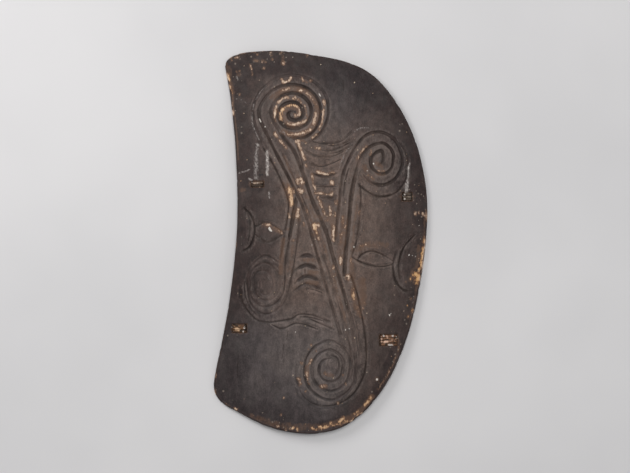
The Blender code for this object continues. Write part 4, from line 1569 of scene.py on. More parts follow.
@dataclass(frozen=True)
class Dome:
    """The bent plane that the board follows, level on three supports."""

    drawn_width: float = 559.0
    drawn_height: float = 998.0
    cross_rise: float = 0.030
    length_rise: float = 0.018
    supports: tuple[Point, ...] = ((-249, 458), (-278, -380), (280, 55))

    @property
    def bends(self) -> np.ndarray:
        """The dome's curvatures.

        Returns:
            The one across the board, and the one along it.
        """
        rises = np.array((self.cross_rise, self.length_rise))
        halves = 0.5 * UNIT * np.array((self.drawn_width, self.drawn_height))
        return rises / halves**2

    @property
    def middle(self) -> np.ndarray:
        """The crown's place, which leaves the three supports level.

        Returns:
            Its x and y, in metres on the drawing.
        """
        places = np.array(self.supports) * UNIT
        steps = places[:-1] - places[1:]
        sums = (self.bends * (places[:-1] ** 2 - places[1:] ** 2)).sum(1)
        return np.linalg.solve(2 * self.bends * steps, sums)

    def drop(self, places: np.ndarray) -> np.ndarray:
        """How far the dome has fallen at each place, measured from its crown."""
        return (self.bends * (places - self.middle) ** 2).sum(1)

    def normal(self, place: np.ndarray) -> Vector:
        """The dome's upward unit normal at a place."""
        tilt = 2 * self.bends * (place - self.middle)
        return Vector((tilt[0], tilt[1], 1.0)).normalized()


@dataclass
class Board:
    """The carved plank: a dense mesh of the same form as its solid."""

    thickness: float = 0.014
    rest_flat: float = 0.0015
    hollow_stop: float = 0.0015
    strand_width: float = 0.007
    cane_gap: float = 0.0004
    recess_depth: float = 0.0027
    recess_ramp: float = 0.0015
    hole_length: float = 0.009
    hole_beyond: float = 0.0017
    outline_step: float = 0.0030
    groove_step: float = 0.0028
    core_width: float = 0.0014
    chatter_step: float = 0.0065
    full_carving: float = 0.0037
    ridge_height: float = 0.0012
    chip_depth: float = 0.00035
    crack_depth: float = 0.0016
    edge_wear: float = 0.0007
    edge_wear_reach: float = 0.012
    nick_depth: float = 0.0014
    face_drop: float = 0.00017
    hollow_size: Point = (0.030, 0.052)
    hollow_depth: float = 0.0011
    hole_power: float = 0.45
    front_step: float = 0.0034
    back_step: float = 0.0080
    closest: float = 0.0011
    dome: Dome = field(default_factory=Dome)
    wear: Wear = field(default_factory=Wear)
    outline_points: tuple[Point, ...] = (
        (-248, 446), (-250, 463), (-243, 478), (-222, 490), (-186, 497), (-100, 499), (0, 485),
        (80, 466), (144, 430), (206, 354), (252, 256), (276, 150), (280, 55), (268, -68),
        (240, -206), (195, -330), (135, -422), (70, -477), (0, -499), (-70, -498),
        (-145, -480), (-220, -443), (-252, -426), (-270, -408), (-279, -384), (-275, -340),
        (-243, -183), (-222, -20), (-217, 100), (-223, 254), (-236, 378),
    )  # fmt: skip
    rim_profile: tuple[Point, ...] = (
        (0.0040, 0.0005), (0.0024, 0.0015), (0.0011, 0.0032), (0.0003, 0.0052), (0.0, 0.0072),
        (0.0003, 0.0092), (0.0012, 0.0116), (0.0024, 0.0132),
    )  # fmt: skip
    front_inset: float = 0.0060
    back_inset: float = 0.0040
    streak_reach: float = 0.012
    halo: float = 0.0032
    handled_and_sheen_reach: tuple[float, float] = (0.005, 0.20)

    def __post_init__(self) -> None:
        """Draws the outline, and finds where the drawing lies in the frame."""
        self.outline = smooth_curve(self.outline_points, self.outline_step, closed=True)
        back_edge = self.inset(self.back_inset)
        self.crown = float(self.dome.drop(back_edge).max()) - self.rest_flat
        low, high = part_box("board")
        middle = 0.5 * (self.outline.min(0) + self.outline.max(0))
        self.shift = 0.5 * np.array((low + high)[:2]) - middle
        self.grooves = []
        for groove in self.wear.carving.grooves():
            line = smooth_curve(groove.points, self.groove_step)
            known = np.linspace(0.0, 1.0, len(groove.strengths))
            if len(groove.strengths) == len(groove.points):
                known = run_along(np.array(groove.points))
                known /= known[-1]
            strengths = np.interp(np.linspace(0.0, 1.0, len(line)), known, groove.strengths)
            self.grooves.append((line, groove.cut, strengths))

    def inset(self, distance: float | np.ndarray) -> np.ndarray:
        """The outline, moved inwards."""
        normals = sideways(self.outline, closed=True)
        return self.outline - normals * np.asarray(distance).reshape(-1, 1)

    def from_rim(self, places: np.ndarray) -> np.ndarray:
        """How far each place is from the outline."""
        return nearest(places, np.vstack((self.outline, self.outline[:1])))[0]

    # Heights.

    def groove_halves(self, line: np.ndarray, cut: Cut) -> np.ndarray:
        """Half a groove's width along its line, nearly nothing at its ends.

        Args:
            line: places along the groove.
            cut: its cut.

        Returns:
            One half width for each place.
        """
        run = run_along(line)
        from_end = np.minimum(run, run[-1] - run)
        share = np.minimum(1.0, 0.15 + from_end / (3.0 * cut.half))
        wobble = 1.0 + 0.09 * SmoothNoise(11).at(line, 0.017, 0.017)
        return cut.half * share * wobble

    def groove_depth(
        self,
        places: np.ndarray,
        streaks: np.ndarray | None = None,
        cores: np.ndarray | None = None,
    ) -> np.ndarray:
        """The depth of the grooves at each place, with round bottoms and rounded ridges.

        Args:
            places: the places.
            streaks: filled with noise that runs along the nearest groove, where it is given.
            cores: filled with how close the sharp line along a groove's bottom is.

        Returns:
            The depths.
        """
        together = 4.0
        total = np.zeros(len(places))
        closest = np.full(len(places), self.streak_reach)
        for index, (line, cut, strengths) in enumerate(self.grooves):
            halves = self.groove_halves(line, cut)
            reach = cut.half * 1.2 if streaks is None else self.streak_reach
            near = close_to(places, line, reach)
            distance, spot = nearest(places[near], line)
            stations = np.arange(len(line))
            half = np.interp(spot, stations, halves)
            strength = np.interp(spot, stations, strengths)
            share = np.clip(distance / half, 0.0, 1.0)
            chatter = 0.04 * np.sin(spot * self.groove_step * 2 * math.pi / self.chatter_step + index)
            depth = cut.depth * np.minimum(1.0, half / cut.half) * (1.0 - share**1.7) ** 1.15
            total[near] += (depth * strength * (1.0 + chatter)) ** together
            if cores is not None:
                sharp = strength * np.exp(-((distance / self.core_width) ** 2))
                cores[near] = np.maximum(cores[near], sharp)
            if streaks is not None:
                nearer = distance < closest[near]
                own = near[nearer]
                closest[own] = distance[nearer]
                run = spot[nearer] * self.groove_step
                flow = np.stack((distance[nearer], run + 0.37 * index), 1)
                streaks[own] = SmoothNoise(13).at(flow, 0.0019, 0.016)
                streaks[own] += 0.7 * SmoothNoise(14).at(flow, 0.0031, 0.045)
                streaks[own] *= soften(closest[own], self.streak_reach, 0.6 * self.streak_reach)
        depth = total ** (1.0 / together)
        return depth * (1.0 + 0.10 * SmoothNoise(12).at(places, 0.021, 0.021))

    def recess_half(self, lashing: Lashing) -> np.ndarray:
        """Finds half the size of a lashing's recess.

        Args:
            lashing: the lashing.

        Returns:
            Half its width, and half its height.
        """
        half_x = 0.5 * lashing.span * UNIT + self.hole_beyond + self.cane_gap
        half_y = 0.5 * lashing.strands * self.strand_width + 2 * self.cane_gap
        return np.array((half_x, half_y))

    def recess(self, places: np.ndarray) -> np.ndarray:
        """Finds how deep the lashings' recesses are.

        Args:
            places: the places to find it at.

        Returns:
            The depth at each place.
        """
        depth = np.zeros(len(places))
        for lashing in LASHINGS:
            beyond = np.abs(places - np.array(lashing.centre) * UNIT) - self.recess_half(lashing)
            ramp = self.recess_ramp * (1.15 + 0.75 * SmoothNoise(41).at(places, 0.005, 0.005))
            away = np.clip(beyond.max(1), 0.0, None) / ramp
            depth = np.maximum(depth, self.recess_depth * np.clip(1.0 - away, 0.0, 1.0))
        return depth

    def unevenness(self, places: np.ndarray) -> np.ndarray:
        """Finds how much the hand-worked face lies below an even one.

        Args:
            places: the places to find it at.

        Returns:
            The depth at each place.
        """
        long = 0.00030 * SmoothNoise(21).at(places, 0.045, 0.130)
        short = 0.00013 * SmoothNoise(22).at(places, 0.013, 0.045)
        fine = 0.00005 * SmoothNoise(23).at(places, 0.0045, 0.018)
        return self.face_drop + long + short + fine

    def scallops(self, places: np.ndarray) -> np.ndarray:
        """Cuts the back with an adze, in rows of shallow, overlapping hollows.

        Args:
            places: the places to cut.

        Returns:
            The depth at each place.
        """
        width, length = self.hollow_size
        draw = np.random.default_rng(31)
        low, high = self.outline.min(0), self.outline.max(0)
        columns = int((high[0] - low[0]) / width) + 3
        rows = int((high[1] - low[1]) / length) + 3
        grid = np.stack(np.meshgrid(np.arange(columns), np.arange(rows)), 2).reshape(-1, 2)
        centres = grid + draw.uniform(-0.28, 0.28, grid.shape)
        centres[:, 1] += 0.5 * (grid[:, 0] % 2)
        scaled = (places - low) / (width, length) + 0.5
        square = np.full(len(places), np.inf)
        for first in range(0, len(places), BLOCK):
            part = slice(first, first + BLOCK)
            square[part] = ((scaled[part, None] - centres[None]) ** 2).sum(2).min(1)
        return self.hollow_depth * np.clip(1.0 - 1.6 * square, 0.0, 1.0)

    # The mesh.

    def hole_loops(self) -> list[np.ndarray]:
        """Draws the rounded outline of each hole.

        Returns:
            One loop for each hole, counter-clockwise.
        """
        loops = []
        angles = np.linspace(0.0, 2 * math.pi, 28, endpoint=False)
        for lashing in LASHINGS:
            half_x = 0.5 * (0.5 * self.hole_length + self.hole_beyond)
            half_y = 0.5 * lashing.strands * self.strand_width + self.cane_gap
            for side in (-1, 1):
                centre = np.array(lashing.centre) * UNIT
                centre[0] += side * (0.5 * lashing.span * UNIT + self.hole_beyond - half_x)
                x = half_x * squared(np.cos(angles), self.hole_power)
                y = half_y * squared(np.sin(angles), self.hole_power)
                loops.append(centre + np.stack((x, y), 1))
        return loops

    def drawn_places(self) -> np.ndarray:
        """Follows the grooves, the cracks and the recesses, closest where it is steep.

        Returns:
            Places along them.
        """
        rows = []
        for line, cut, _ in self.grooves:
            normals = sideways(line)
            halves = self.groove_halves(line, cut)
            for share in (0.0, 1.0, -1.0, 0.72, -0.72, 0.38, -0.38, 1.28, -1.28):
                rows.append(line + normals * (share * halves)[:, None])
        for crack in self.wear.cracks:
            line = smooth_curve(crack.points, 0.0014)
            normals = sideways(line)
            for offset in (0.0, 0.0011, -0.0011, 0.0022, -0.0022):
                rows.append(line + normals * offset)
        corners = np.array(((-1, -1), (1, -1), (1, 1), (-1, 1)))
        for lashing in LASHINGS:
            half = self.recess_half(lashing)
            for grow in (0.0, self.recess_ramp, -self.recess_ramp, 2 * self.recess_ramp):
                loop = corners * (half + grow)
                rows.append(resample(loop + np.array(lashing.centre) * UNIT, 0.0015, True))
        return np.vstack(rows)

    def lattice(self, loop: np.ndarray, step: float) -> np.ndarray:
        """Fills a loop with a triangular lattice, slightly disturbed.

        Args:
            loop: the loop.
            step: how far apart its places are.

        Returns:
            The places inside the loop.
        """
        low, high = loop.min(0), loop.max(0)
        rise = step * math.sqrt(0.75)
        rows = np.arange(low[1], high[1], rise)
        columns = np.arange(low[0], high[0], step)
        x, y = np.meshgrid(columns, rows)
        x = x + 0.5 * step * (np.arange(len(rows)) % 2)[:, None]
        places = np.stack((x.ravel(), y.ravel()), 1)
        places += np.random.default_rng(41).uniform(-0.12, 0.12, places.shape) * step
        return places[inside(places, loop)]

    def layer(
        self, rim: np.ndarray, holes: list[np.ndarray], loose: np.ndarray
    ) -> tuple[np.ndarray, list[tuple[int, ...]], list[list[int]]]:
        """Triangulates the area between a rim and its holes.

        Args:
            rim: the outer loop.
            holes: the loops to leave open.
            loose: places within.

        Returns:
            The places, the triangles, and the rim's and each hole's places as indices.
        """
        loops = [rim] + holes
        places = np.vstack(loops + [loose])
        faces = []
        first = 0
        for loop in loops:
            faces.append(list(range(first, first + len(loop))))
            first += len(loop)
        in_mm = [Vector(place) for place in places / UNIT]
        made = delaunay_2d_cdt(in_mm, [], faces, 1, 0.02)
        spots = np.array([tuple(place) for place in made[0]]) * UNIT
        new = {old: index for index, olds in enumerate(made[3]) for old in olds}
        triangles = np.array([tuple(face) for face in made[2]])
        middles = spots[triangles].mean(1)
        kept = np.ones(len(triangles), bool)
        for hole in holes:
            low, high = hole.min(0), hole.max(0)
            close = np.flatnonzero(((middles > low) & (middles < high)).all(1))
            kept[close[inside(middles[close], hole)]] = False
        borders = [[new[index] for index in face] for face in faces]
        return spots, [tuple(triangle) for triangle in triangles[kept].tolist()], borders

    def face_height(self, places: np.ndarray) -> np.ndarray:
        """The height of the uncarved face."""
        return self.crown - self.dome.drop(places) + self.thickness

    def back_height(self, places: np.ndarray) -> np.ndarray:
        """Finds the height of the hollow back, with the adze's marks outside its flat middle.

        Args:
            places: the places to find it at.

        Returns:
            The height at each place.
        """
        drop = self.dome.drop(places)
        flat = soften(drop, self.hollow_stop, 2.2 * self.hollow_stop)
        away = soften(self.from_rim(places), 0.006, 0.03)
        return self.crown - np.maximum(drop, self.hollow_stop) + self.scallops(places) * flat * away

    def build(self) -> bpy.types.Object:
        """Builds the board's mesh with its painted values.

        Returns:
            The board, in its place in the frame.
        """
        rim = self.nibbled_insets()
        holes = self.hole_loops()
        front_rim = self.inset(self.front_inset)
        loose = self.front_places(front_rim, holes)
        front, front_faces, front_loops = self.layer(front_rim, holes, loose)
        back_rim = self.inset(self.back_inset)
        offer = (self.lattice(back_rim, self.back_step), 0.6 * self.back_step)
        back_loose = fill_in([back_rim] + holes, offer)
        back, back_faces, back_loops = self.layer(back_rim, holes, back_loose)

        values = self.paint_values(front)
        heights = self.face_height(front) - self.relief(front, values)
        vertices = [np.column_stack((front, heights))]
        count = len(front)
        rings = [front_loops[0]]
        for inset, (_, below) in zip(rim, self.rim_profile):
            loop = self.inset(inset)
            vertices.append(np.column_stack((loop, self.face_height(loop) - below)))
            rings.append(list(range(count, count + len(loop))))
            count += len(loop)
        vertices.append(np.column_stack((back, self.back_height(back))))
        rings.append([count + index for index in back_loops[0]])
        faces = self.turned(front, front_faces, 0, upwards=True)
        faces += self.turned(back, back_faces, count, upwards=False)
        for upper, lower in zip(rings, rings[1:]):
            faces += self.wall(upper, lower)
        for front_hole, back_hole in zip(front_loops[1:], back_loops[1:]):
            faces += self.wall(front_hole, [count + index for index in back_hole])

        everything = np.vstack(vertices)
        everything[:, 2] = np.maximum(everything[:, 2], 0.0)
        self.fill_values(values, everything, len(front), count)
        everything[:, :2] += self.shift
        mesh = bpy.data.meshes.new("board_carved")
        mesh.from_pydata(everything.tolist(), [], faces)
        mesh.validate()
        paint_mesh(mesh, values)
        return in_scene("board_carved", mesh)

    def nibbled_insets(self) -> list[np.ndarray]:
        """Nibbles the rim with small nicks, deepest at its upper edge.

        Returns:
            How far each ring of the rim stands in from the outline.
        """
        along = np.arange(len(self.outline)) * self.outline_step
        places = np.stack((along, np.zeros(len(along))), 1)
        slow = SmoothNoise(51).at(places, 0.030, 1.0)
        quick = SmoothNoise(52).at(places, 0.009, 1.0)
        nicks = self.nick_depth * soften(quick + 0.3 * slow, 0.55, 1.0)
        wave = 0.0004 + 0.0002 * slow
        rings = []
        for inset, below in self.rim_profile:
            upper = 1.0 - min(1.0, below / self.thickness)
            rings.append(inset + wave + nicks * (0.35 + 0.65 * upper))
        return rings

    def front_places(self, rim: np.ndarray, holes: list[np.ndarray]) -> np.ndarray:
        """The places of the face's mesh, apart from its rim and its holes.

        Args:
            rim: the face's outer loop.
            holes: the loops of its holes.

        Returns:
            The places, dense along the carving and even elsewhere.
        """
        drawn = self.drawn_places()
        drawn = drawn[inside(drawn, self.inset(self.front_inset + 0.001))]
        filler = self.lattice(rim, self.front_step)
        for hole in holes:
            drawn = drawn[~inside(drawn, hole)]
            filler = filler[~inside(filler, hole)]
        return fill_in([rim] + holes, (drawn, self.closest), (filler, 0.62 * self.front_step))

    def paint_values(self, places: np.ndarray) -> dict[str, np.ndarray]:
        """The wear at each place of the face.

        Args:
            places: the places.

        Returns:
            Named values: how bare, thinned, scuffed and speckled each place is.
        """
        wear = self.wear
        bare = mark_field(
            places,
            wear.bare_top_scroll + wear.bare_middle + wear.bare_foot + wear.bare_rim_and_lit_edge,
            self.halo,
        )
        ragged = 0.20 * SmoothNoise(61).at(places, 0.0065, 0.011)
        ragged += 0.16 * SmoothNoise(62).at(places, 0.003, 0.006)
        bare += ragged * soften(bare, 0.0, 0.35)
        return {
            "bare": np.clip(bare, 0.0, 1.2),
            "honey": np.clip(mark_field(places, wear.honey), 0.0, 1.0),
            "thinned": mark_field(places, wear.thinned),
            "soot_crust_and_shade": mark_field(places, wear.soot_crust_and_shade),
            "scuff_and_highlight": mark_field(places, wear.scuffs_and_highlights),
            "speck": mark_field(places, wear.specks),
        }

    def relief(self, places: np.ndarray, values: dict[str, np.ndarray]) -> np.ndarray:
        """How far each place of the face lies below the plain dome.

        Args:
            places: the places.
            values: the painted values, to which the carving's own are added.

        Returns:
            The depths.
        """
        streaks = np.zeros(len(places))
        cores = np.zeros(len(places))
        grooves = self.groove_depth(places, streaks, cores)
        values["core"] = np.clip(cores, 0.0, 1.0)
        recess = self.recess(places)
        # The lashings' recesses are painted brown and, through the carving value, darker: soot in part
        # and painted shade in part.
        values["thinned"] = np.maximum(values["thinned"], 1.3 * recess / self.recess_depth)
        from_rim = self.from_rim(places)
        ridges = self.ridges(places, grooves)
        values["carving"] = np.clip(np.maximum(grooves, recess * 0.35) / self.full_carving, 0.0, 1.0)
        values["crest"] = ridges
        values["streak"] = 0.5 + 0.3 * streaks
        values["handled_and_sheen"] = self.handled_and_sheen(places, from_rim)
        values["cool"] = self.cool(places)
        band = soften(from_rim, 0.004, 0.010) * soften(from_rim, 0.045, 0.012)
        thin = np.clip(values["thinned"], 0.0, 1.0)
        crusty = mark_field(places, self.wear.crusty)
        values["flecks"] = 0.03 + 0.16 * ridges + 0.10 * band + 0.16 * thin
        values["crust"] = 0.6 * crusty + 0.05 * band
        fades = 1.0 - 0.65 * soften(values["carving"], 0.25, 0.75)
        values["bare"] = values["bare"] * fades
        chips = self.chip_depth * soften(values["bare"], 0.45, 0.6)
        cracks = self.crack_depth * soften(mark_field(places, self.wear.cracks), 0.0, 0.9)
        values["carving"] = np.maximum(values["carving"], soften(cracks, 0.0004, 0.0012))
        worn = np.clip(1.0 - (from_rim - self.front_inset) / self.edge_wear_reach, 0.0, 1.0)
        edge = self.edge_wear * worn**2
        strokes = 0.00012 * streaks + 0.0004 * cores
        rough = self.unevenness(places) + strokes
        return np.maximum(grooves, recess) + rough + chips + cracks + edge

    def handled_and_sheen(self, places: np.ndarray, from_rim: np.ndarray) -> np.ndarray:
        """Finds how light the soot is painted: lighter in the middle, from handling and as a painted
        sheen on the dome's crown; darker near the rim and at the top, as painted shade where the dome
        turns from the light; a little lighter at the foot.

        Args:
            places: the places to find it at.
            from_rim: how far each is from the rim.

        Returns:
            The painted lightness at each place.
        """
        uneven = 0.02 * SmoothNoise(71).at(places, 0.07, 0.12)
        foot = 0.08 * soften(places[:, 1], -0.10, -0.30)
        head = 0.50 * soften(places[:, 1] + 0.4 * places[:, 0], 0.12, 0.48)
        return soften(from_rim + uneven, *self.handled_and_sheen_reach) * (1.0 - head) + foot

    def cool(self, places: np.ndarray) -> np.ndarray:
        """Finds where the soot is greyer: at the lower left and the upper right.

        Args:
            places: the places to find it at.

        Returns:
            How grey the soot is at each place.
        """
        x, y = places.T
        low = soften(y, -0.11, -0.27) * soften(x, 0.13, 0.0)
        high = soften(y - 0.5 * x, 0.20, 0.36) * soften(x, -0.06, 0.05)
        return np.maximum(low, 0.8 * high)

    def ridges(self, places: np.ndarray, depth: np.ndarray) -> np.ndarray:
        """How much each place stands out from the carving around it.

        Args:
            places: the places.
            depth: the grooves' depths there.

        Returns:
            0 on open ground and in grooves, up to 1 on the ridges between them.
        """
        step, reach = 0.0025, 3
        low = self.outline.min(0)
        columns, rows = np.ceil((self.outline.max(0) - low) / step).astype(int) + 1
        x, y = np.meshgrid(np.arange(columns), np.arange(rows))
        cells = low + step * np.stack((x.ravel(), y.ravel()), 1)
        around = self.groove_depth(cells).reshape(rows, columns)
        for _ in range(2):
            for axis in (0, 1):
                shifted = [np.roll(around, k, axis) for k in range(-reach, reach + 1)]
                around = sum(shifted) / len(shifted)
        spot = np.clip((places - low) / step, 0.0, (columns - 1.001, rows - 1.001))
        column, row = np.floor(spot).astype(int).T
        right, up = (spot - np.floor(spot)).T
        lower = around[row, column] * (1 - right) + around[row, column + 1] * right
        upper = around[row + 1, column] * (1 - right) + around[row + 1, column + 1] * right
        return np.clip((lower * (1 - up) + upper * up - depth) / self.ridge_height, 0.0, 1.0)

    def fill_values(
        self, values: dict[str, np.ndarray], vertices: np.ndarray, fronts: int, backs: int
    ) -> None:
        """Extends the painted values from the face to the rim and the back.

        Args:
            values: the face's values, extended in place.
            vertices: every vertex.
            fronts: how many of them are the face's.
            backs: the index of the back's first vertex.
        """
        places = vertices[fronts:backs, :2]
        rim = mark_field(places, [wider(mark, 3.0) for mark in self.wear.bare_rim_and_lit_edge])
        ragged = 0.75 * SmoothNoise(63).at(places, 0.009, 0.014)
        bare = np.clip(np.where(rim > 0, rim - 0.15 + ragged, 0.0), 0.0, 1.0)
        total = len(vertices)
        for name in list(values):
            full = np.full(total, 0.5 if name == "streak" else 0.0)
            full[:fronts] = values[name]
            values[name] = full
        values["bare"][fronts:backs] = bare
        values["back"] = np.zeros(total)
        values["back"][backs:] = 1.0

    @staticmethod
    def turned(
        places: np.ndarray, triangles: list[tuple[int, ...]], first: int, upwards: bool
    ) -> list[tuple[int, ...]]:
        """Turns triangles to face up or down.

        Args:
            places: the places of their corners.
            triangles: the triangles.
            first: what to count their corners from.
            upwards: whether they face up.

        Returns:
            The triangles.
        """
        corners = np.array(triangles)
        a, b, c = (places[corners[:, k]] for k in range(3))
        left = np.cross(b - a, c - a) > 0
        flip = left != upwards
        corners[flip] = corners[flip][:, ::-1]
        return [tuple(corner) for corner in (corners + first).tolist()]

    @staticmethod
    def wall(upper: list[int], lower: list[int]) -> list[tuple[int, ...]]:
        """Joins two closed rings of vertices.

        Args:
            upper: the indices of the upper ring's vertices.
            lower: those of the lower one.

        Returns:
            One face for each pair of neighbours.
        """
        count = len(upper)
        return [
            (upper[i], upper[(i + 1) % count], lower[(i + 1) % count], lower[i])
            for i in range(count)
        ]


def wider(mark: Mark, extra: float) -> Mark:
    """The same mark, some millimetres wider on each side."""
    return Mark(mark.points, mark.half_width + extra, mark.strength)


@dataclass
class CaneBinding:
    """One lashing: strands of split cane, each wound once through its two holes."""

    lashing: Lashing
    board: Board
    strand_thickness: float = 0.0022
    bend: float = 0.0014
    bulge: float = 0.0007
    wander: float = 0.0016
    halo: float = 0.0015

    def path(self) -> np.ndarray:
        """Draws the closed middle line of a strand.

        Returns:
            Places across and up from the board's mid plane.
        """
        board = self.board
        half_span = 0.5 * self.lashing.span * UNIT
        half = 0.5 * self.strand_thickness
        top = 0.5 * board.thickness - board.recess_depth + board.cane_gap + half
        bottom = -0.5 * board.thickness - board.cane_gap - half
        points = []
        corners = ((1, top, 90), (1, bottom, 0), (-1, bottom, -90), (-1, top, 180))
        for side, height, start in corners:
            inward = -1 if height > 0 else 1
            for step in range(5):
                angle = math.radians(start - 22.5 * step)
                x = side * (half_span - self.bend) + self.bend * math.cos(angle)
                points.append((x, height + inward * self.bend + self.bend * math.sin(angle)))
        return resample(np.array(points), 0.0010, True)

    def strand(self, index: int) -> tuple[np.ndarray, list[tuple[int, ...]], np.ndarray]:
        """One strand: a flat band with a rounded skin and split edges.

        Args:
            index: which strand it is.

        Returns:
            Its vertices about the lashing's middle, its faces, and how outermost each is.
        """
        draw = np.random.default_rng(100 + 10 * LASHINGS.index(self.lashing) + index)
        line = self.path()
        count = len(line)
        outward = sideways(line, closed=True)
        front = line[:, 1] > 0
        lift = np.where(front, 1.0 - (line[:, 0] / np.abs(line[:, 0]).max()) ** 2, 0.0)
        line = line + outward * (self.bulge * lift * draw.uniform(0.2, 1.0))[:, None]
        turn = 2 * math.pi * np.arange(count) / count
        wander = draw.uniform(-0.45, 0.45) * np.sin(turn + draw.uniform(0, 6))
        wander += draw.uniform(-0.35, 0.35) * np.sin(3 * turn + draw.uniform(0, 6))
        width = self.board.strand_width
        middle = (index - 0.5 * (self.lashing.strands - 1)) * width + self.wander * wander
        lumps = 0.5 * np.sin(7 * turn + draw.uniform(0, 6)) + 0.5 * np.sin(11 * turn + index)
        breadth = 0.48 * width * (0.86 + 0.08 * lift + 0.07 * lumps)
        tilt = math.radians(draw.uniform(6, 14)) * np.sin(2 * turn + draw.uniform(0, 6))
        ring = 18
        around = np.linspace(0.0, 2 * math.pi, ring, endpoint=False)
        across = squared(np.cos(around), 0.7)
        out = np.where(np.sin(around) > 0, np.sin(around), 0.55 * np.sin(around))
        fibres = 1.0 + 0.05 * np.sin(7 * across * math.pi)
        vertices = []
        for k in range(count):
            u = breadth[k] * across
            v = 0.5 * self.strand_thickness * out * fibres * (1.0 + 0.12 * lumps[k])
            side = u * math.cos(tilt[k]) - v * math.sin(tilt[k])
            rise = u * math.sin(tilt[k]) + v * math.cos(tilt[k])
            x = line[k, 0] + outward[k, 0] * rise
            z = line[k, 1] + outward[k, 1] * rise
            vertices.append(np.column_stack((x, middle[k] + side, z)))
        faces = []
        for k in range(count):
            after = (k + 1) % count
            for i in range(ring):
                j = (i + 1) % ring
                faces.append((k * ring + i, k * ring + j, after * ring + j, after * ring + i))
        # How much each vertex faces up and out, most in the middle of the front run; the cane's finish
        # paints the rest darker as shade.
        crown = np.tile(np.clip(np.sin(around), 0.0, 1.0), count)
        crown *= np.repeat(0.25 + 0.75 * lift, ring)
        return np.vstack(vertices), faces, crown

    def build(self, material: bpy.types.Material) -> bpy.types.Object:
        """Builds the lashing in its place.

        Args:
            material: its finish.

        Returns:
            The lashing.
        """
        vertices, faces, crowns = [], [], []
        first = 0
        for index in range(self.lashing.strands):
            places, rings, crown = self.strand(index)
            vertices.append(places)
            faces += [tuple(first + corner for corner in ring) for ring in rings]
            crowns.append(crown)
            first += len(places)
        place = np.array(self.lashing.centre) * UNIT
        board = self.board
        middle = board.crown - float(board.dome.drop(place[None])[0]) + 0.5 * board.thickness
        turn = Vector((0, 0, 1)).rotation_difference(board.dome.normal(place))
        centre = Vector((*(place + board.shift), middle))
        placed = [centre + turn @ Vector(vertex) for vertex in np.vstack(vertices)]
        mesh = bpy.data.meshes.new(self.lashing.name + "_strands")
        mesh.from_pydata([tuple(vertex) for vertex in placed], [], faces)
        flat = place + np.vstack(vertices)[:, :2]
        crown = np.concatenate(crowns)
        values = {"crown": crown}
        for name in ("worn", "tarred_and_hole_shade", "limed"):
            rows = getattr(self.lashing, name)
            values[name] = mark_field(flat, marks(*rows), self.halo) * soften(crown, 0.0, 0.2)
        work = bmesh.new()
        work.from_mesh(mesh)
        bmesh.ops.recalc_face_normals(work, faces=work.faces)
        work.to_mesh(mesh)
        work.free()
        paint_mesh(mesh, values)
        mesh.materials.append(material)
        return in_scene(mesh.name, mesh)


@dataclass
class Shield:
    """The whole shield: the board and its four lashings."""

    board: Board = field(default_factory=Board)
    wood: SootedWood = field(default_factory=SootedWood)
    canes: tuple[AgedCane, ...] = (
        AgedCane("cane_pinkish", (0.060, 0.034, 0.020), (0.13, 0.080, 0.055), (0.36, 0.26, 0.19)),
        AgedCane("cane_dark", (0.045, 0.030, 0.020), (0.090, 0.062, 0.043), (0.17, 0.13, 0.10)),
        AgedCane("cane_orange", (0.060, 0.027, 0.011), (0.145, 0.068, 0.028), (0.54, 0.35, 0.21)),
        AgedCane("cane_ruddy", (0.085, 0.036, 0.017), (0.225, 0.108, 0.054), (0.62, 0.40, 0.29)),
    )

    def dress(self, effects: Effects) -> list[bpy.types.Object]:
        """Builds every piece, and puts it in its solid's place.

        Args:
            effects: the shared node groups.

        Returns:
            The pieces.
        """
        board = self.board.build()
        board.data.materials.append(self.wood.make(effects))
        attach(board, BODY)
        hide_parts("board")
        pieces = [board]
        for lashing, cane in zip(LASHINGS, self.canes):
            binding = CaneBinding(lashing, self.board).build(cane.make(effects))
            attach(binding, BODY)
            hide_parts(lashing.name)
            pieces.append(binding)
        return pieces


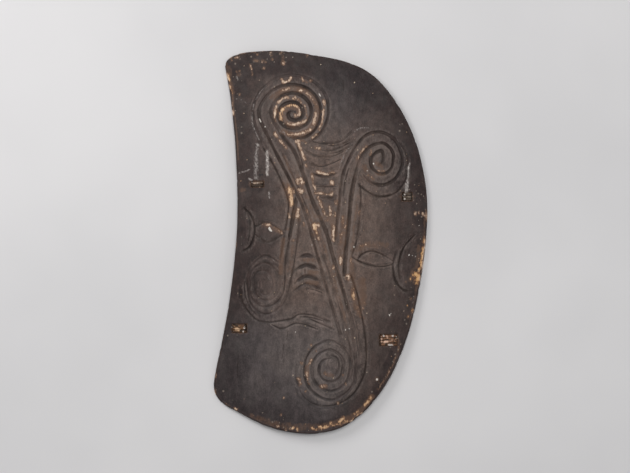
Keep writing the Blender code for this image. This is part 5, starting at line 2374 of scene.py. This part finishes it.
@dataclass
class Studio:
    """The plain floor, the soft lights, and the camera that looks straight down."""

    floor_size: float = 14.0
    floor_gap: float = 0.0002
    view_middle: Point = (-0.0143, 0.0143)
    view_width: float = 1.638
    view_height: float = 0.035
    lens: float = 85.0
    sensor: float = 36.0
    air_colour: tuple[float, ...] = (0.96, 0.98, 1.0, 1.0)
    air_strength: float = 0.36
    paper: StudioPaper = field(default_factory=StudioPaper)

    def build(self, shift: np.ndarray) -> None:
        """Builds the studio.

        Args:
            shift: from the drawing to the frame.
        """
        self.floor()
        self.camera(np.array(self.view_middle) + shift)
        self.lights()
        self.air()

    def floor(self) -> None:
        """A large pale floor, just under the shield."""
        work = bmesh.new()
        bmesh.ops.create_grid(work, x_segments=8, y_segments=8, size=0.5 * self.floor_size)
        mesh = bpy.data.meshes.new("studio_floor")
        work.to_mesh(mesh)
        work.free()
        mesh.materials.append(self.paper.make())
        floor = in_scene("studio_floor", mesh)
        floor.location.z = -self.floor_gap

    def camera(self, middle: np.ndarray) -> None:
        """The camera, straight above the middle of the view.

        Args:
            middle: the place in the middle of the image.
        """
        data = bpy.data.cameras.new("view_from_above")
        data.lens = self.lens
        data.sensor_width = self.sensor
        camera = in_scene("view_from_above", data)
        rise = self.view_width * self.lens / self.sensor
        camera.location = (middle[0], middle[1], self.view_height + rise)
        bpy.context.scene.camera = camera

    def lights(self) -> None:
        """A wide light overhead, a softer one from the left, and a weak one from the right."""
        for name, place, size, power in (
            ("overhead", (0.15, 0.9, 4.4), 1.8, 86.0),
            ("from_left", (-2.3, 1.9, 2.2), 1.4, 56.0),
            ("from_right", (2.8, 0.4, 2.6), 2.0, 10.0),
        ):
            data = bpy.data.lights.new(name, "AREA")
            data.shape = "SQUARE"
            data.size = size
            data.energy = power
            light = in_scene(name, data)
            light.location = place
            light.rotation_mode = "QUATERNION"
            light.rotation_quaternion = (-Vector(place)).to_track_quat("-Z", "Y")

    def air(self) -> None:
        """Even light from all round, and plain colours in the image."""
        world = bpy.data.worlds.new("studio_air")
        world.use_nodes = True
        background = world.node_tree.nodes["Background"]
        background.inputs["Color"].default_value = self.air_colour
        background.inputs["Strength"].default_value = self.air_strength
        bpy.context.scene.world = world
        bpy.context.scene.view_settings.view_transform = "Standard"


def main() -> None:
    """Builds the shield and the studio, and reports each piece."""
    logging.basicConfig(level=logging.INFO, format="%(name)s: %(message)s")
    shield = Shield()
    studio = Studio()
    studio.build(shield.board.shift)
    for piece in shield.dress(Effects()):
        log.info("%s: %d faces", piece.name, len(piece.data.polygons))
    bpy.context.view_layer.update()


if __name__ == "__main__":
    main()
